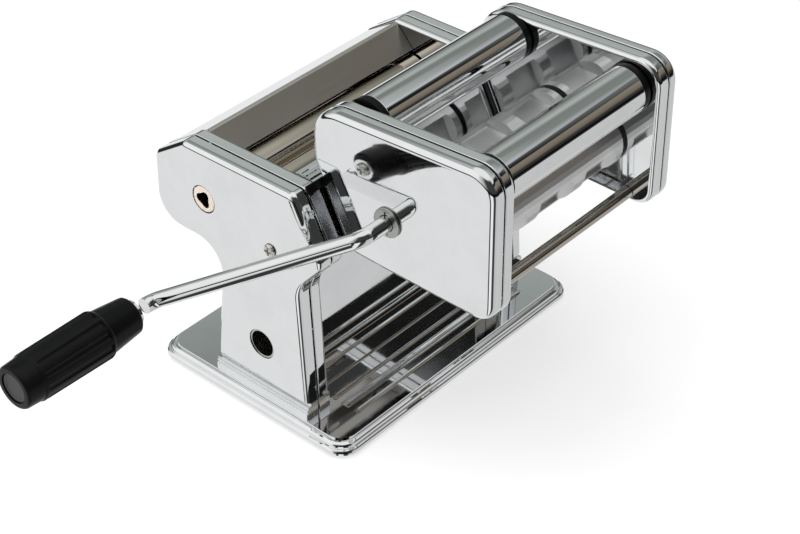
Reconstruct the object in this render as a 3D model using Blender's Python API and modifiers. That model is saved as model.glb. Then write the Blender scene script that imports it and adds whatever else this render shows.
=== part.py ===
# Pasta machine with a ravioli attachment and a hand crank.
# Metres, +Z up. X runs along the rollers and the crank is on the -X side, called near.
# The attachment hangs on the front, at -Y. The feet stand on Z = 0 and the base is centred on X = Y = 0.

from math import acos, ceil, cos, pi, radians, sin, tan

import bmesh
import bpy
from mathutils import Matrix, Vector

NEAR, FAR = -1, 1

# Clearances
SEAT_GAP = 0.0003
RUN_GAP = 0.0003
SHEET = 0.0012

# Base
BASE_WIDTH = 0.2034
BASE_DEPTH = 0.1460
BASE_CORNER = 0.0120
BASE_HEIGHT = 0.0054
RIM_WIDTH = 0.0061
RIM_LIFT = 0.0008
FOOT_HEIGHT = 0.0025
FOOT_RADIUS = 0.0080
FOOT_INSET = 0.0170
RISER_HEIGHT = 0.0096
RISER_STEP = 0.0007

# Side boxes of the machine, as seen along X
COVER_SPAN = 0.1894
COVER_DEPTH = 0.0094
FRAME_DEPTH = 0.0086
PARTING = 0.0004
EDGE_RADIUS = 0.0042
FRAME_EDGE = 0.0028
FRONT_Y = -0.0396
BACK_FOOT_Y = 0.0312
NECK_Y = 0.0215
BACK_Y = 0.0715
OVERHANG_Z = 0.0958
SHOULDER_Z = 0.1392
PEAK_Y = 0.0462
PEAK_Z = 0.1560
TOP_FRONT_Y = -0.0350
TOP_FRONT_Z = 0.1575
NOSE_Y = -0.0545
NOSE_Z = 0.1195
WAIST_Y = -0.0358
WAIST_Z = 0.0980

# Smooth rollers
ROLLER_RADIUS = 0.0137
ROLLER_GAP = 0.0010
ROLLER_AXIS_Y = 0.0323
ROLLER_AXIS_Z = 0.1249
ROLLER_CLEARANCE = 0.0010
SHAFT_RADIUS = 0.0050
BEARING_RADIUS = 0.0080
BEARING_FLANGE = 0.0020
OPENING_TRAVEL = 0.0016
CLOSING_TRAVEL = 0.0006
GEAR_WIDTH = 0.0050
GEAR_TEETH = 14
DRIVE_BUSH_RADIUS = 0.0079
DRIVE_SOCKET_DEPTH = 0.0050

# Sheets between the frame plates
PANEL_Y = -0.0275
PANEL_FLANGE = 0.0060
HOPPER_MOUTH = 0.0256
HOPPER_STRIP = 0.0155
STRIP_RIDGE = 0.0012

# Fasteners, ties and clamp socket
SCREW_RADIUS = 0.0040
SCREW_HEAD = 0.0016
TIE_RADIUS = 0.0040
TIE_FRONT = (-0.0172, 0.1149)
TIE_BACK = (0.0560, 0.1120)
SOCKET_Y = -0.0065
SOCKET_Z = 0.0455
SOCKET_RADIUS = 0.0080
SOCKET_WALL = 0.0010
SOCKET_DEPTH = 0.0300

# Thickness knob on the far side
KNOB_RADIUS = 0.0160
KNOB_LENGTH = 0.0190
DIAL_RADIUS = 0.0188
DIAL_THICKNESS = 0.0015
ADJUSTER_RADIUS = 0.0045
CAM_RADIUS = 0.0070

# Rails on the sloping front face
RAIL_WIDTH = 0.0074
RAIL_HEIGHT = 0.0010
RAIL_TOP = 0.0042
RAIL_LENGTH = 0.0330
PLATE_STANDOFF = 0.0024
SHOE_REACH = 0.0220
SHOE_HEIGHT = 0.0050
SHOE_THICKNESS = 0.0017

# Ravioli attachment
PLATE_SPAN = 0.1516
PLATE_DEPTH = 0.0085
PLATE_EDGE = 0.0050
INNER_DEPTH = 0.0080
PLATE_REAR_TOP_Y = -0.0310
PLATE_REAR_TOP_Z = 0.2032
PLATE_FRONT_TOP_Z = 0.2115
PLATE_FRONT_Y = -0.1522
PLATE_BOTTOM_Z = 0.1212
PLATE_KNEE_DROP = 0.0342
MOULD_RADIUS = 0.0160
MOULD_GAP = 0.0010
MOULD_AXIS_Y = -0.0841
MOULD_AXIS_Z = 0.1547
MOULD_SHAFT_RADIUS = 0.0065
POCKETS_ALONG = 3
POCKETS_AROUND = 3
POCKET_DEPTH = 0.0050
POCKET_FRAME = 0.0045
MOULD_GEAR_TEETH = 16
GUIDE_RADIUS = 0.0140
GUIDE_WALL = 0.0015
GUIDE_REAR_IN = (0.0236, 0.0108)
GUIDE_FRONT_IN = (0.0191, 0.0196)
GUIDE_PIN_RADIUS = 0.0030
BAR_RADIUS = 0.0036
BAR_FRONT = (-0.1365, 0.1268)
BAR_REAR = (-0.0720, 0.1285)
HUB_RADIUS = 0.0085
HUB_THICKNESS = 0.0014

# Crank
ROD_RADIUS = 0.0045
CRANK_OUT = 0.0183
CRANK_LEAN = 0.0570
CRANK_ARM = 0.1146
CRANK_REST_ANGLE = -30.0
CRANK_BEND = 0.0090
CRANK_INSERT = 0.0140
STUB_LENGTH = 0.0050
STRAP_LENGTH = 0.0107
STRAP_THICKNESS = 0.0020
STRAP_WIDTH = 0.0088
EYE_RADIUS = 0.0070
EYE_THICKNESS = 0.0024
EYE_LIFT = 0.0018
SCREW_LEAN = 131.7
GRIP_LENGTH = 0.0785
GRIP_RADIUS_IN = 0.0107
GRIP_NECK_RADIUS = 0.0130
GRIP_BODY_IN = 0.0140
GRIP_BODY_OUT = 0.0136
GRIP_CAP_RADIUS = 0.0129
GRIP_RADIUS_OUT = 0.0124
GRIP_ROUNDING = 0.0010
GRIP_COLLAR = 0.0220
GRIP_END = 0.0106
PLUG_RADIUS = 0.0083
PIN_RADIUS = 0.0028
PIN_HEAD_RADIUS = 0.0046
PIN_HEAD = 0.0020

# Derived places
FLOOR_Z = FOOT_HEIGHT + BASE_HEIGHT
RISER_TOP = FLOOR_Z + SEAT_GAP + RISER_HEIGHT
COVER_FOOT_Z = RISER_TOP + SEAT_GAP
COVER_FACE = COVER_SPAN / 2
FRAME_RIM = COVER_FACE - COVER_DEPTH - PARTING
FRAME_FACE = FRAME_RIM - FRAME_DEPTH
INNER_HALF = FRAME_FACE - SEAT_GAP
PLATE_FACE = PLATE_SPAN / 2
INNER_RIM = PLATE_FACE - PLATE_DEPTH - PARTING
INNER_FACE = INNER_RIM - INNER_DEPTH
FRONT_ROLLER_Y = ROLLER_AXIS_Y - 2 * ROLLER_RADIUS - ROLLER_GAP
FRONT_MOULD_Y = MOULD_AXIS_Y - 2 * MOULD_RADIUS - MOULD_GAP
GUIDE_REAR = (PLATE_REAR_TOP_Y - GUIDE_REAR_IN[0], PLATE_REAR_TOP_Z - GUIDE_REAR_IN[1])
GUIDE_FRONT = (PLATE_FRONT_Y + GUIDE_FRONT_IN[0], PLATE_FRONT_TOP_Z - GUIDE_FRONT_IN[1])
SLOPE = Vector((NOSE_Y - TOP_FRONT_Y, NOSE_Z - TOP_FRONT_Z)).normalized()
FORWARD = Vector((SLOPE.y, -SLOPE.x))
CRANK_SIDE = NEAR * PLATE_FACE


def on_slope(down, forward):
    """A (y, z) point measured from the top of the sloping front face, down along it and out from it."""
    return Vector((TOP_FRONT_Y, TOP_FRONT_Z)) + SLOPE * down + FORWARD * forward


def clear_scene():
    for thing in list(bpy.data.objects):
        bpy.data.objects.remove(thing, do_unlink=True)


def new_collection(name):
    group = bpy.data.collections.new(name)
    bpy.context.scene.collection.children.link(group)
    return group


def new_material(name, colour, roughness, metallic):
    material = bpy.data.materials.new(name)
    material.use_nodes = True
    shader = material.node_tree.nodes["Principled BSDF"]
    shader.inputs["Base Color"].default_value = (*colour, 1.0)
    shader.inputs["Roughness"].default_value = roughness
    shader.inputs["Metallic"].default_value = metallic
    return material


clear_scene()
PARTS = new_collection("pasta_machine")
CUTTERS = new_collection("cutters")

CHROME = new_material("chrome", (0.80, 0.81, 0.82), 0.06, 1.0)
BRUSHED = new_material("brushed_steel", (0.62, 0.60, 0.56), 0.22, 1.0)
BEARING = new_material("bearing_plastic", (0.82, 0.79, 0.70), 0.45, 0.0)
GEAR = new_material("gear_steel", (0.42, 0.41, 0.39), 0.38, 1.0)
MOULD = new_material("mould_aluminium", (0.70, 0.70, 0.71), 0.30, 1.0)
BLACK = new_material("black_plastic", (0.015, 0.015, 0.016), 0.35, 0.0)
GREY = new_material("grey_plastic", (0.16, 0.16, 0.17), 0.45, 0.0)
RUBBER = new_material("foot_rubber", (0.02, 0.02, 0.02), 0.80, 0.0)


def rounded(corners, closed=True, step=24.0):
    """The points of a polyline whose corners (u, v, radius) are arcs, with a point every step degrees."""
    points = []
    last = len(corners) - 1
    for index, (u, v, radius) in enumerate(corners):
        here = Vector((u, v))
        if radius == 0 or (not closed and index in (0, last)):
            points.append(here)
            continue
        before = (Vector(corners[index - 1][:2]) - here).normalized()
        after = (Vector(corners[(index + 1) % len(corners)][:2]) - here).normalized()
        half = acos(max(-1.0, min(1.0, before.dot(after)))) / 2
        centre = here + (before + after).normalized() * radius / sin(half)
        start = here + before * radius / tan(half) - centre
        turn = pi - 2 * half
        side = 1 if before.x * after.y - before.y * after.x < 0 else -1
        count = max(2, ceil(turn / radians(step)))
        for k in range(count + 1):
            points.append(centre + Matrix.Rotation(side * turn * k / count, 2) @ start)
    return points


def circle(u, v, radius, count=24, turned=0.0):
    angles = [2 * pi * (k + turned) / count for k in range(count)]
    return [Vector((u + radius * cos(a), v + radius * sin(a))) for a in angles]


def add_object(name, bm, material, smooth=35, group=PARTS):
    mesh = bpy.data.meshes.new(name)
    bm.to_mesh(mesh)
    bm.free()
    if smooth:
        mesh.shade_smooth()
        mesh.set_sharp_from_angle(angle=radians(smooth))
    piece = bpy.data.objects.new(name, mesh)
    group.objects.link(piece)
    if material:
        mesh.materials.append(material)
    if group is CUTTERS:
        piece.hide_render = True
        piece.display_type = "WIRE"
    return piece


def placed(point, along, axis):
    """World place of a 2D point at a distance along the axis it is drawn square to."""
    if axis == "X":
        return (along, point[0], point[1])
    if axis == "Y":
        return (point[0], along, point[1])
    return (point[0], point[1], along)


def prism_mesh(outline, low, high, axis="X"):
    bm = bmesh.new()
    face = bm.faces.new([bm.verts.new(placed(p, low, axis)) for p in outline])
    grown = bmesh.ops.extrude_face_region(bm, geom=[face])
    shift = Vector(placed((0, 0), high - low, axis))
    moved = [v for v in grown["geom"] if isinstance(v, bmesh.types.BMVert)]
    bmesh.ops.translate(bm, vec=shift, verts=moved)
    bmesh.ops.recalc_face_normals(bm, faces=bm.faces)
    return bm


def prism(name, outline, low, high, material, axis="X", bevel=0.0, segments=1):
    piece = add_object(name, prism_mesh(outline, low, high, axis), material)
    if bevel:
        soften(piece, bevel, segments)
    return piece


def soften(piece, width, segments=1):
    edge = piece.modifiers.new("soft_edges", "BEVEL")
    edge.width = width
    edge.segments = segments
    edge.limit_method = "ANGLE"
    edge.angle_limit = radians(40)


def cut(piece, *cutters):
    for cutter in cutters:
        hole = piece.modifiers.new("cut_" + cutter.name, "BOOLEAN")
        hole.operation = "DIFFERENCE"
        hole.object = cutter


def hole_cutter(name, y, z, radius, low, high, count=24):
    return add_object(name, prism_mesh(circle(y, z, radius, count, 0.37), low, high), None, group=CUTTERS)


def box_cutter(name, low, high):
    outline = [(low[1], low[2]), (high[1], low[2]), (high[1], high[2]), (low[1], high[2])]
    return add_object(name, prism_mesh(outline, low[0], high[0]), None, group=CUTTERS)


def pan(name, outline, face_x, rim_x, material, edge_radius=EDGE_RADIUS, segments=2):
    """A pressed sheet pan: a flat face at face_x, a rolled edge and a wall that ends at rim_x."""
    bm = bmesh.new()
    face = bm.faces.new([bm.verts.new((face_x, p[0], p[1])) for p in outline])
    grown = bmesh.ops.extrude_face_region(bm, geom=[face], use_keep_orig=True)
    moved = [v for v in grown["geom"] if isinstance(v, bmesh.types.BMVert)]
    bmesh.ops.translate(bm, vec=(rim_x - face_x, 0, 0), verts=moved)
    bmesh.ops.recalc_face_normals(bm, faces=bm.faces)
    caps = [f for f in bm.faces if all(abs(v.co.x - rim_x) < 1e-7 for v in f.verts)]
    bmesh.ops.delete(bm, geom=caps, context="FACES_ONLY")
    edges = [e for e in bm.edges if all(abs(v.co.x - face_x) < 1e-7 for v in e.verts)]
    bmesh.ops.bevel(
        bm, geom=edges, offset=edge_radius, segments=segments, profile=0.5, affect="EDGES", material=-1
    )
    piece = add_object(name, bm, material)
    shell = piece.modifiers.new("sheet", "SOLIDIFY")
    shell.thickness = SHEET
    shell.offset = -1
    shell.use_even_offset = True
    return piece


def turned_x(name, outer, y, z, material, bore=0.0, segments=32):
    """A piece turned about an axis along X: outer is (x, radius) from high x to low x."""
    profile = [(radius, x) for x, radius in outer]
    if bore:
        profile += [(bore, outer[-1][0]), (bore, outer[0][0])]
    else:
        profile = [(0.0, outer[0][0]), *profile, (0.0, outer[-1][0])]
    bm = bmesh.new()
    verts = [bm.verts.new((r, 0.0, x)) for r, x in profile]
    for a, b in zip(verts, verts[1:]):
        bm.edges.new((a, b))
    if bore:
        bm.edges.new((verts[-1], verts[0]))
    piece = add_object(name, bm, material, smooth=0)
    piece.location = (0, y, z)
    piece.rotation_euler = (0, pi / 2, 0)
    screw = piece.modifiers.new("turn", "SCREW")
    screw.steps = segments
    screw.render_steps = segments
    screw.use_merge_vertices = True
    screw.merge_threshold = 1e-6
    screw.use_smooth_shade = False
    return piece


def sheet_x(name, corners, half, material, thickness=SHEET, offset=-1):
    """A bent sheet between x = -half and x = half: corners (y, z, bend radius) give its visible side."""
    bm = bmesh.new()
    line = [bm.verts.new((-half, p[0], p[1])) for p in rounded(corners, closed=False)]
    edges = [bm.edges.new(pair) for pair in zip(line, line[1:])]
    grown = bmesh.ops.extrude_edge_only(bm, edges=edges)
    moved = [v for v in grown["geom"] if isinstance(v, bmesh.types.BMVert)]
    bmesh.ops.translate(bm, vec=(2 * half, 0, 0), verts=moved)
    bmesh.ops.recalc_face_normals(bm, faces=bm.faces)
    piece = add_object(name, bm, material)
    shell = piece.modifiers.new("sheet", "SOLIDIFY")
    shell.thickness = thickness
    shell.offset = offset
    shell.use_even_offset = True
    return piece


def as_mesh(curve_object, material):
    """The curve's evaluated shape as a mesh object of the same name, with its end caps welded."""
    bpy.context.view_layer.update()
    graph = bpy.context.evaluated_depsgraph_get()
    mesh = bpy.data.meshes.new_from_object(curve_object.evaluated_get(graph))
    name = curve_object.name
    matrix = curve_object.matrix_world.copy()
    bpy.data.objects.remove(curve_object, do_unlink=True)
    bm = bmesh.new()
    bm.from_mesh(mesh)
    bmesh.ops.remove_doubles(bm, verts=bm.verts, dist=1e-6)
    bmesh.ops.recalc_face_normals(bm, faces=bm.faces)
    piece = add_object(name, bm, material, smooth=50)
    piece.matrix_world = matrix
    return piece


def rod_curve(name, points, radius, resolution):
    data = bpy.data.curves.new(name, "CURVE")
    data.dimensions = "3D"
    data.bevel_depth = radius
    data.bevel_resolution = resolution
    data.use_fill_caps = True
    line = data.splines.new("POLY")
    line.points.add(len(points) - 1)
    for spot, point in zip(line.points, points):
        spot.co = (*point, 1.0)
    piece = bpy.data.objects.new(name, data)
    PARTS.objects.link(piece)
    return piece


def gear_outline(y, z, pitch_radius, teeth, phase, clearance=0.0006):
    """Straight-flanked teeth that stay clear of a twin gear half a tooth out of phase."""
    pitch = 2 * pi / teeth
    addendum = 0.30 * pitch * pitch_radius
    root = pitch_radius - addendum - clearance
    tip = pitch_radius + addendum
    half_root = 0.31 * pitch
    half_tip = 0.09 * pitch
    points = []
    for k in range(teeth):
        middle = (k + phase) * pitch
        marks = [(root, -half_root), (tip, -half_tip), (tip, half_tip), (root, half_root)]
        points += [Vector((y + r * cos(middle + a), z + r * sin(middle + a))) for r, a in marks]
    return points


def body_axis(name, y, z, x=0.0):
    """An empty on a joint's axis, the parent of the pieces that move with it."""
    empty = bpy.data.objects.new("axis_" + name, None)
    empty.location = (x, y, z)
    PARTS.objects.link(empty)
    return empty


def carry(empty, *pieces):
    for piece in pieces:
        piece.parent = empty
        piece.matrix_parent_inverse = Matrix.Translation(empty.location).inverted()


def by_x(outer):
    """The same turned outline, from its high x end to its low x end."""
    return outer if outer[0][0] > outer[-1][0] else outer[::-1]


def side_name(side):
    return "near" if side == NEAR else "far"


def span(side, a, b):
    """The two x values of a mirrored stretch, lowest first."""
    return sorted((side * a, side * b))


# Outlines of the side boxes and the attachment's plates
BOX_OUTLINE = rounded([
    (FRONT_Y, COVER_FOOT_Z, 0.0),
    (BACK_FOOT_Y, COVER_FOOT_Z, 0.0),
    (NECK_Y, OVERHANG_Z, 0.0170),
    (BACK_Y, OVERHANG_Z, 0.0180),
    (BACK_Y - 0.0010, SHOULDER_Z, 0.0050),
    (PEAK_Y, PEAK_Z, 0.0052),
    (TOP_FRONT_Y, TOP_FRONT_Z, 0.0052),
    (NOSE_Y, NOSE_Z, 0.0060),
    (WAIST_Y, WAIST_Z, 0.0180),
])
KNEE_Z = PLATE_REAR_TOP_Z - PLATE_KNEE_DROP
KNEE = on_slope((TOP_FRONT_Z - KNEE_Z) / -SLOPE.y, PLATE_STANDOFF)
HEEL_RUN = TOP_FRONT_Z - PLATE_BOTTOM_Z + PLATE_STANDOFF * FORWARD.y
HEEL = on_slope(HEEL_RUN / -SLOPE.y, PLATE_STANDOFF)
PLATE_OUTLINE = rounded([
    (PLATE_FRONT_Y, PLATE_BOTTOM_Z, 0.0120),
    (HEEL.x, PLATE_BOTTOM_Z, 0.0080),
    (KNEE.x, KNEE.y, 0.0150),
    (PLATE_REAR_TOP_Y, PLATE_REAR_TOP_Z, 0.0200),
    (PLATE_FRONT_Y, PLATE_FRONT_TOP_Z, 0.0150),
])


def build_base():
    rim = [
        (0.0, FOOT_HEIGHT),
        (0.0, FOOT_HEIGHT + 0.28 * BASE_HEIGHT),
        (0.22 * RIM_WIDTH, FOOT_HEIGHT + 0.52 * BASE_HEIGHT),
        (0.50 * RIM_WIDTH, FOOT_HEIGHT + 0.72 * BASE_HEIGHT),
        (0.72 * RIM_WIDTH, FLOOR_Z + RIM_LIFT),
        (0.92 * RIM_WIDTH, FLOOR_Z + RIM_LIFT),
        (1.12 * RIM_WIDTH, FLOOR_Z),
    ]
    bm = bmesh.new()
    loops = []
    for inset, height in rim:
        u = BASE_WIDTH / 2 - inset
        v = BASE_DEPTH / 2 - inset
        radius = BASE_CORNER - 0.8 * inset
        ring = rounded([(-u, -v, radius), (u, -v, radius), (u, v, radius), (-u, v, radius)], step=16)
        loops.append([bm.verts.new((p[0], p[1], height)) for p in ring])
    for lower, upper in zip(loops, loops[1:]):
        for k in range(len(lower)):
            after = (k + 1) % len(lower)
            bm.faces.new((lower[k], lower[after], upper[after], upper[k]))
    bm.faces.new(loops[-1])
    bmesh.ops.recalc_face_normals(bm, faces=bm.faces)
    plate = add_object("base_plate", bm, CHROME)
    shell = plate.modifiers.new("sheet", "SOLIDIFY")
    shell.thickness = SHEET
    shell.offset = -1
    shell.use_even_offset = True

    for side in (NEAR, FAR):
        for end, word in ((-1, "front"), (1, "back")):
            x = side * (BASE_WIDTH / 2 - FOOT_INSET)
            y = end * (BASE_DEPTH / 2 - FOOT_INSET)
            foot = prism(
                f"rubber_foot_{word}_{side_name(side)}",
                circle(x, y, FOOT_RADIUS, 24),
                0.0,
                FLOOR_Z - SHEET - SEAT_GAP,
                RUBBER,
                axis="Z",
            )
            soften(foot, 0.0005)


def build_riser(side):
    """The stepped moulding that a side box stands on."""
    low = FLOOR_Z + SEAT_GAP
    top = RISER_TOP
    out = COVER_FACE
    steps = [
        (FRAME_FACE, low),
        (out, low),
        (out, low + 0.45 * RISER_HEIGHT),
        (out - RISER_STEP, low + 0.52 * RISER_HEIGHT),
        (out - RISER_STEP, low + 0.78 * RISER_HEIGHT),
        (out - 2 * RISER_STEP, low + 0.85 * RISER_HEIGHT),
        (out - 2 * RISER_STEP, top),
        (FRAME_FACE, top),
    ]
    riser = prism(
        f"{side_name(side)}_riser",
        [(side * x, z) for x, z in steps],
        FRONT_Y,
        BACK_FOOT_Y,
        CHROME,
        axis="Y",
    )
    groove_low, groove_high = span(side, FRAME_RIM, FRAME_RIM + PARTING + 0.0004)
    groove = box_cutter(
        f"{side_name(side)}_riser_groove",
        (groove_low, FRONT_Y - 0.001, low - 0.001),
        (groove_high, FRONT_Y + 0.0012, top + 0.001),
    )
    cut(riser, groove)


def build_side(side):
    """The outer cover and the frame plate of one side box."""
    word = side_name(side)
    cover_rim = FRAME_RIM + PARTING
    cover = pan(f"{word}_cover", BOX_OUTLINE, side * COVER_FACE, side * cover_rim, CHROME)
    frame = pan(f"{word}_frame_plate", BOX_OUTLINE, side * FRAME_FACE, side * FRAME_RIM, CHROME, FRAME_EDGE)
    low, high = span(side, 0.05, 0.12)
    frame_low, frame_high = span(side, FRAME_FACE - 0.002, FRAME_FACE + 0.004)
    rear = (ROLLER_AXIS_Y, ROLLER_AXIS_Z)

    screw_bore = SCREW_RADIUS * 0.55 + SEAT_GAP
    screw_hole = hole_cutter(f"{word}_screw_hole", *TIE_FRONT, screw_bore, low, high, 16)
    cut(cover, screw_hole)
    cut(frame, screw_hole)
    bearing_bore = BEARING_RADIUS + SEAT_GAP
    bearing_hole = hole_cutter(f"{word}_bearing_hole", *rear, bearing_bore, frame_low, frame_high)
    slot_half = BEARING_RADIUS + RUN_GAP
    slot_front = FRONT_ROLLER_Y - slot_half - OPENING_TRAVEL
    slot_back = FRONT_ROLLER_Y + slot_half + CLOSING_TRAVEL
    slot = box_cutter(
        f"{word}_block_slot",
        (frame_low, slot_front, ROLLER_AXIS_Z - slot_half),
        (frame_high, slot_back, ROLLER_AXIS_Z + slot_half),
    )
    cut(frame, bearing_hole, slot)
    if side == NEAR:
        cut(cover, hole_cutter("drive_hole", *rear, DRIVE_BUSH_RADIUS + 2 * RUN_GAP, low, high))
        outside = SOCKET_RADIUS + SOCKET_WALL + SEAT_GAP
        socket_hole = hole_cutter("socket_hole", SOCKET_Y, SOCKET_Z, outside, low, high)
        cut(cover, socket_hole)
        cut(frame, socket_hole)
    else:
        bore = ADJUSTER_RADIUS + RUN_GAP
        cut(cover, hole_cutter("adjuster_hole", FRONT_ROLLER_Y, ROLLER_AXIS_Z, bore, low, high))


def cross_slots(piece, tip, side, y, z, radius, depth):
    """Cuts a cross recess into a screw head whose outer face is at x = tip and looks towards side."""
    wide = 0.58 * radius
    thin = 0.13 * radius
    low, high = sorted((tip + side * 0.001, tip - side * depth))
    for turn, (dy, dz) in enumerate(((wide, thin), (thin, wide))):
        cut(piece, box_cutter(f"{piece.name}_slot_{turn}", (low, y - dy, z - dz), (high, y + dy, z + dz)))


def build_screws():
    y, z = TIE_FRONT
    for side in (NEAR, FAR):
        head = COVER_FACE + SEAT_GAP
        outer = [
            (side * (head + SCREW_HEAD), 0.62 * SCREW_RADIUS),
            (side * (head + 0.6 * SCREW_HEAD), SCREW_RADIUS),
            (side * head, SCREW_RADIUS),
            (side * head, 0.55 * SCREW_RADIUS),
            (side * (FRAME_FACE + SHEET), 0.55 * SCREW_RADIUS),
        ]
        screw = turned_x(f"{side_name(side)}_cover_screw", by_x(outer), y, z, BRUSHED, segments=20)
        cross_slots(screw, side * (head + SCREW_HEAD), side, y, z, SCREW_RADIUS, 0.5 * SCREW_HEAD)


def build_ties():
    ends = [(INNER_HALF, TIE_RADIUS), (-INNER_HALF, TIE_RADIUS)]
    for label, (y, z) in (("front", TIE_FRONT), ("back", TIE_BACK)):
        turned_x(f"{label}_tie_rod", ends, y, z, BRUSHED, segments=16)


def build_socket():
    """The sleeve in the near side box that a table clamp's pin goes into."""
    mouth = -COVER_FACE + SHEET * 0.5
    outside = SOCKET_RADIUS + SOCKET_WALL
    sleeve = turned_x(
        "clamp_socket",
        [(mouth + SOCKET_DEPTH, outside), (mouth, outside)],
        SOCKET_Y,
        SOCKET_Z,
        CHROME,
        segments=32,
    )
    floor = mouth + SOCKET_DEPTH - SOCKET_WALL
    cut(sleeve, hole_cutter("socket_bore", SOCKET_Y, SOCKET_Z, SOCKET_RADIUS, mouth - 0.01, floor))


def build_sheets():
    """The front panel, the front and rear sheets of the hopper, and the two scrapers."""
    low = FLOOR_Z + SEAT_GAP
    sheet_x(
        "front_panel",
        [
            (PANEL_Y - PANEL_FLANGE, low + SHEET, 0.0),
            (PANEL_Y, low + SHEET, 0.0018),
            (PANEL_Y, WAIST_Z, 0.0060),
            (NOSE_Y + 0.0060, NOSE_Z - 0.0020, 0.0),
        ],
        INNER_HALF,
        CHROME,
        offset=1,
    )
    lip_z = ROLLER_AXIS_Z + ROLLER_RADIUS + ROLLER_CLEARANCE
    strip_back = TOP_FRONT_Y + HOPPER_STRIP
    mouth_front = (FRONT_ROLLER_Y + ROLLER_AXIS_Y) / 2 - HOPPER_MOUTH / 2
    mouth_back = mouth_front + HOPPER_MOUTH
    slope_foot = on_slope((TOP_FRONT_Z - NOSE_Z) / -SLOPE.y - 0.002, -0.0012)
    slope_top = on_slope(0.0010, -0.0012)
    ridges = []
    for k in range(3):
        y = slope_top.x + 0.0035 + k * (HOPPER_STRIP - 0.0050) / 3
        ridges += [
            (y, slope_top.y, 0.0),
            (y + 0.0008, slope_top.y + STRIP_RIDGE, 0.0),
            (y + 0.0020, slope_top.y + STRIP_RIDGE, 0.0),
            (y + 0.0028, slope_top.y, 0.0),
        ]
    sheet_x(
        "front_hopper_sheet",
        [
            (slope_foot.x, slope_foot.y, 0.0),
            (slope_top.x, slope_top.y, 0.0015),
            *ridges,
            (strip_back, slope_top.y, 0.0),
            (mouth_front, lip_z + 0.0008, 0.0),
        ],
        INNER_HALF,
        CHROME,
        offset=-1,
        thickness=0.0008,
    )
    sheet_x(
        "rear_hopper_sheet",
        [
            (mouth_back, lip_z + 0.0008, 0.0),
            (PEAK_Y - 0.0010, PEAK_Z - 0.0008, 0.0022),
            (BACK_Y - 0.0010, SHOULDER_Z - 0.0006, 0.0030),
            (BACK_Y - 0.0008, OVERHANG_Z + 0.0012, 0.0160),
            (NECK_Y + 0.0250, OVERHANG_Z + 0.0012, 0.0),
        ],
        INNER_HALF,
        BRUSHED,
        offset=-1,
    )
    for label, y, lean in (("rear", ROLLER_AXIS_Y, -1), ("front", FRONT_ROLLER_Y, 1)):
        angle = radians(52)
        reach = ROLLER_RADIUS + ROLLER_CLEARANCE
        edge_y = y + lean * reach * cos(angle)
        edge_z = ROLLER_AXIS_Z - reach * sin(angle)
        sheet_x(
            f"{label}_scraper",
            [
                (edge_y, edge_z, 0.0),
                (edge_y - lean * 0.0010, edge_z - 0.0100, 0.0010),
                (edge_y - lean * 0.0070, edge_z - 0.0120, 0.0),
            ],
            INNER_HALF,
            BRUSHED,
            thickness=0.0008,
            offset=0,
        )


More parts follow.
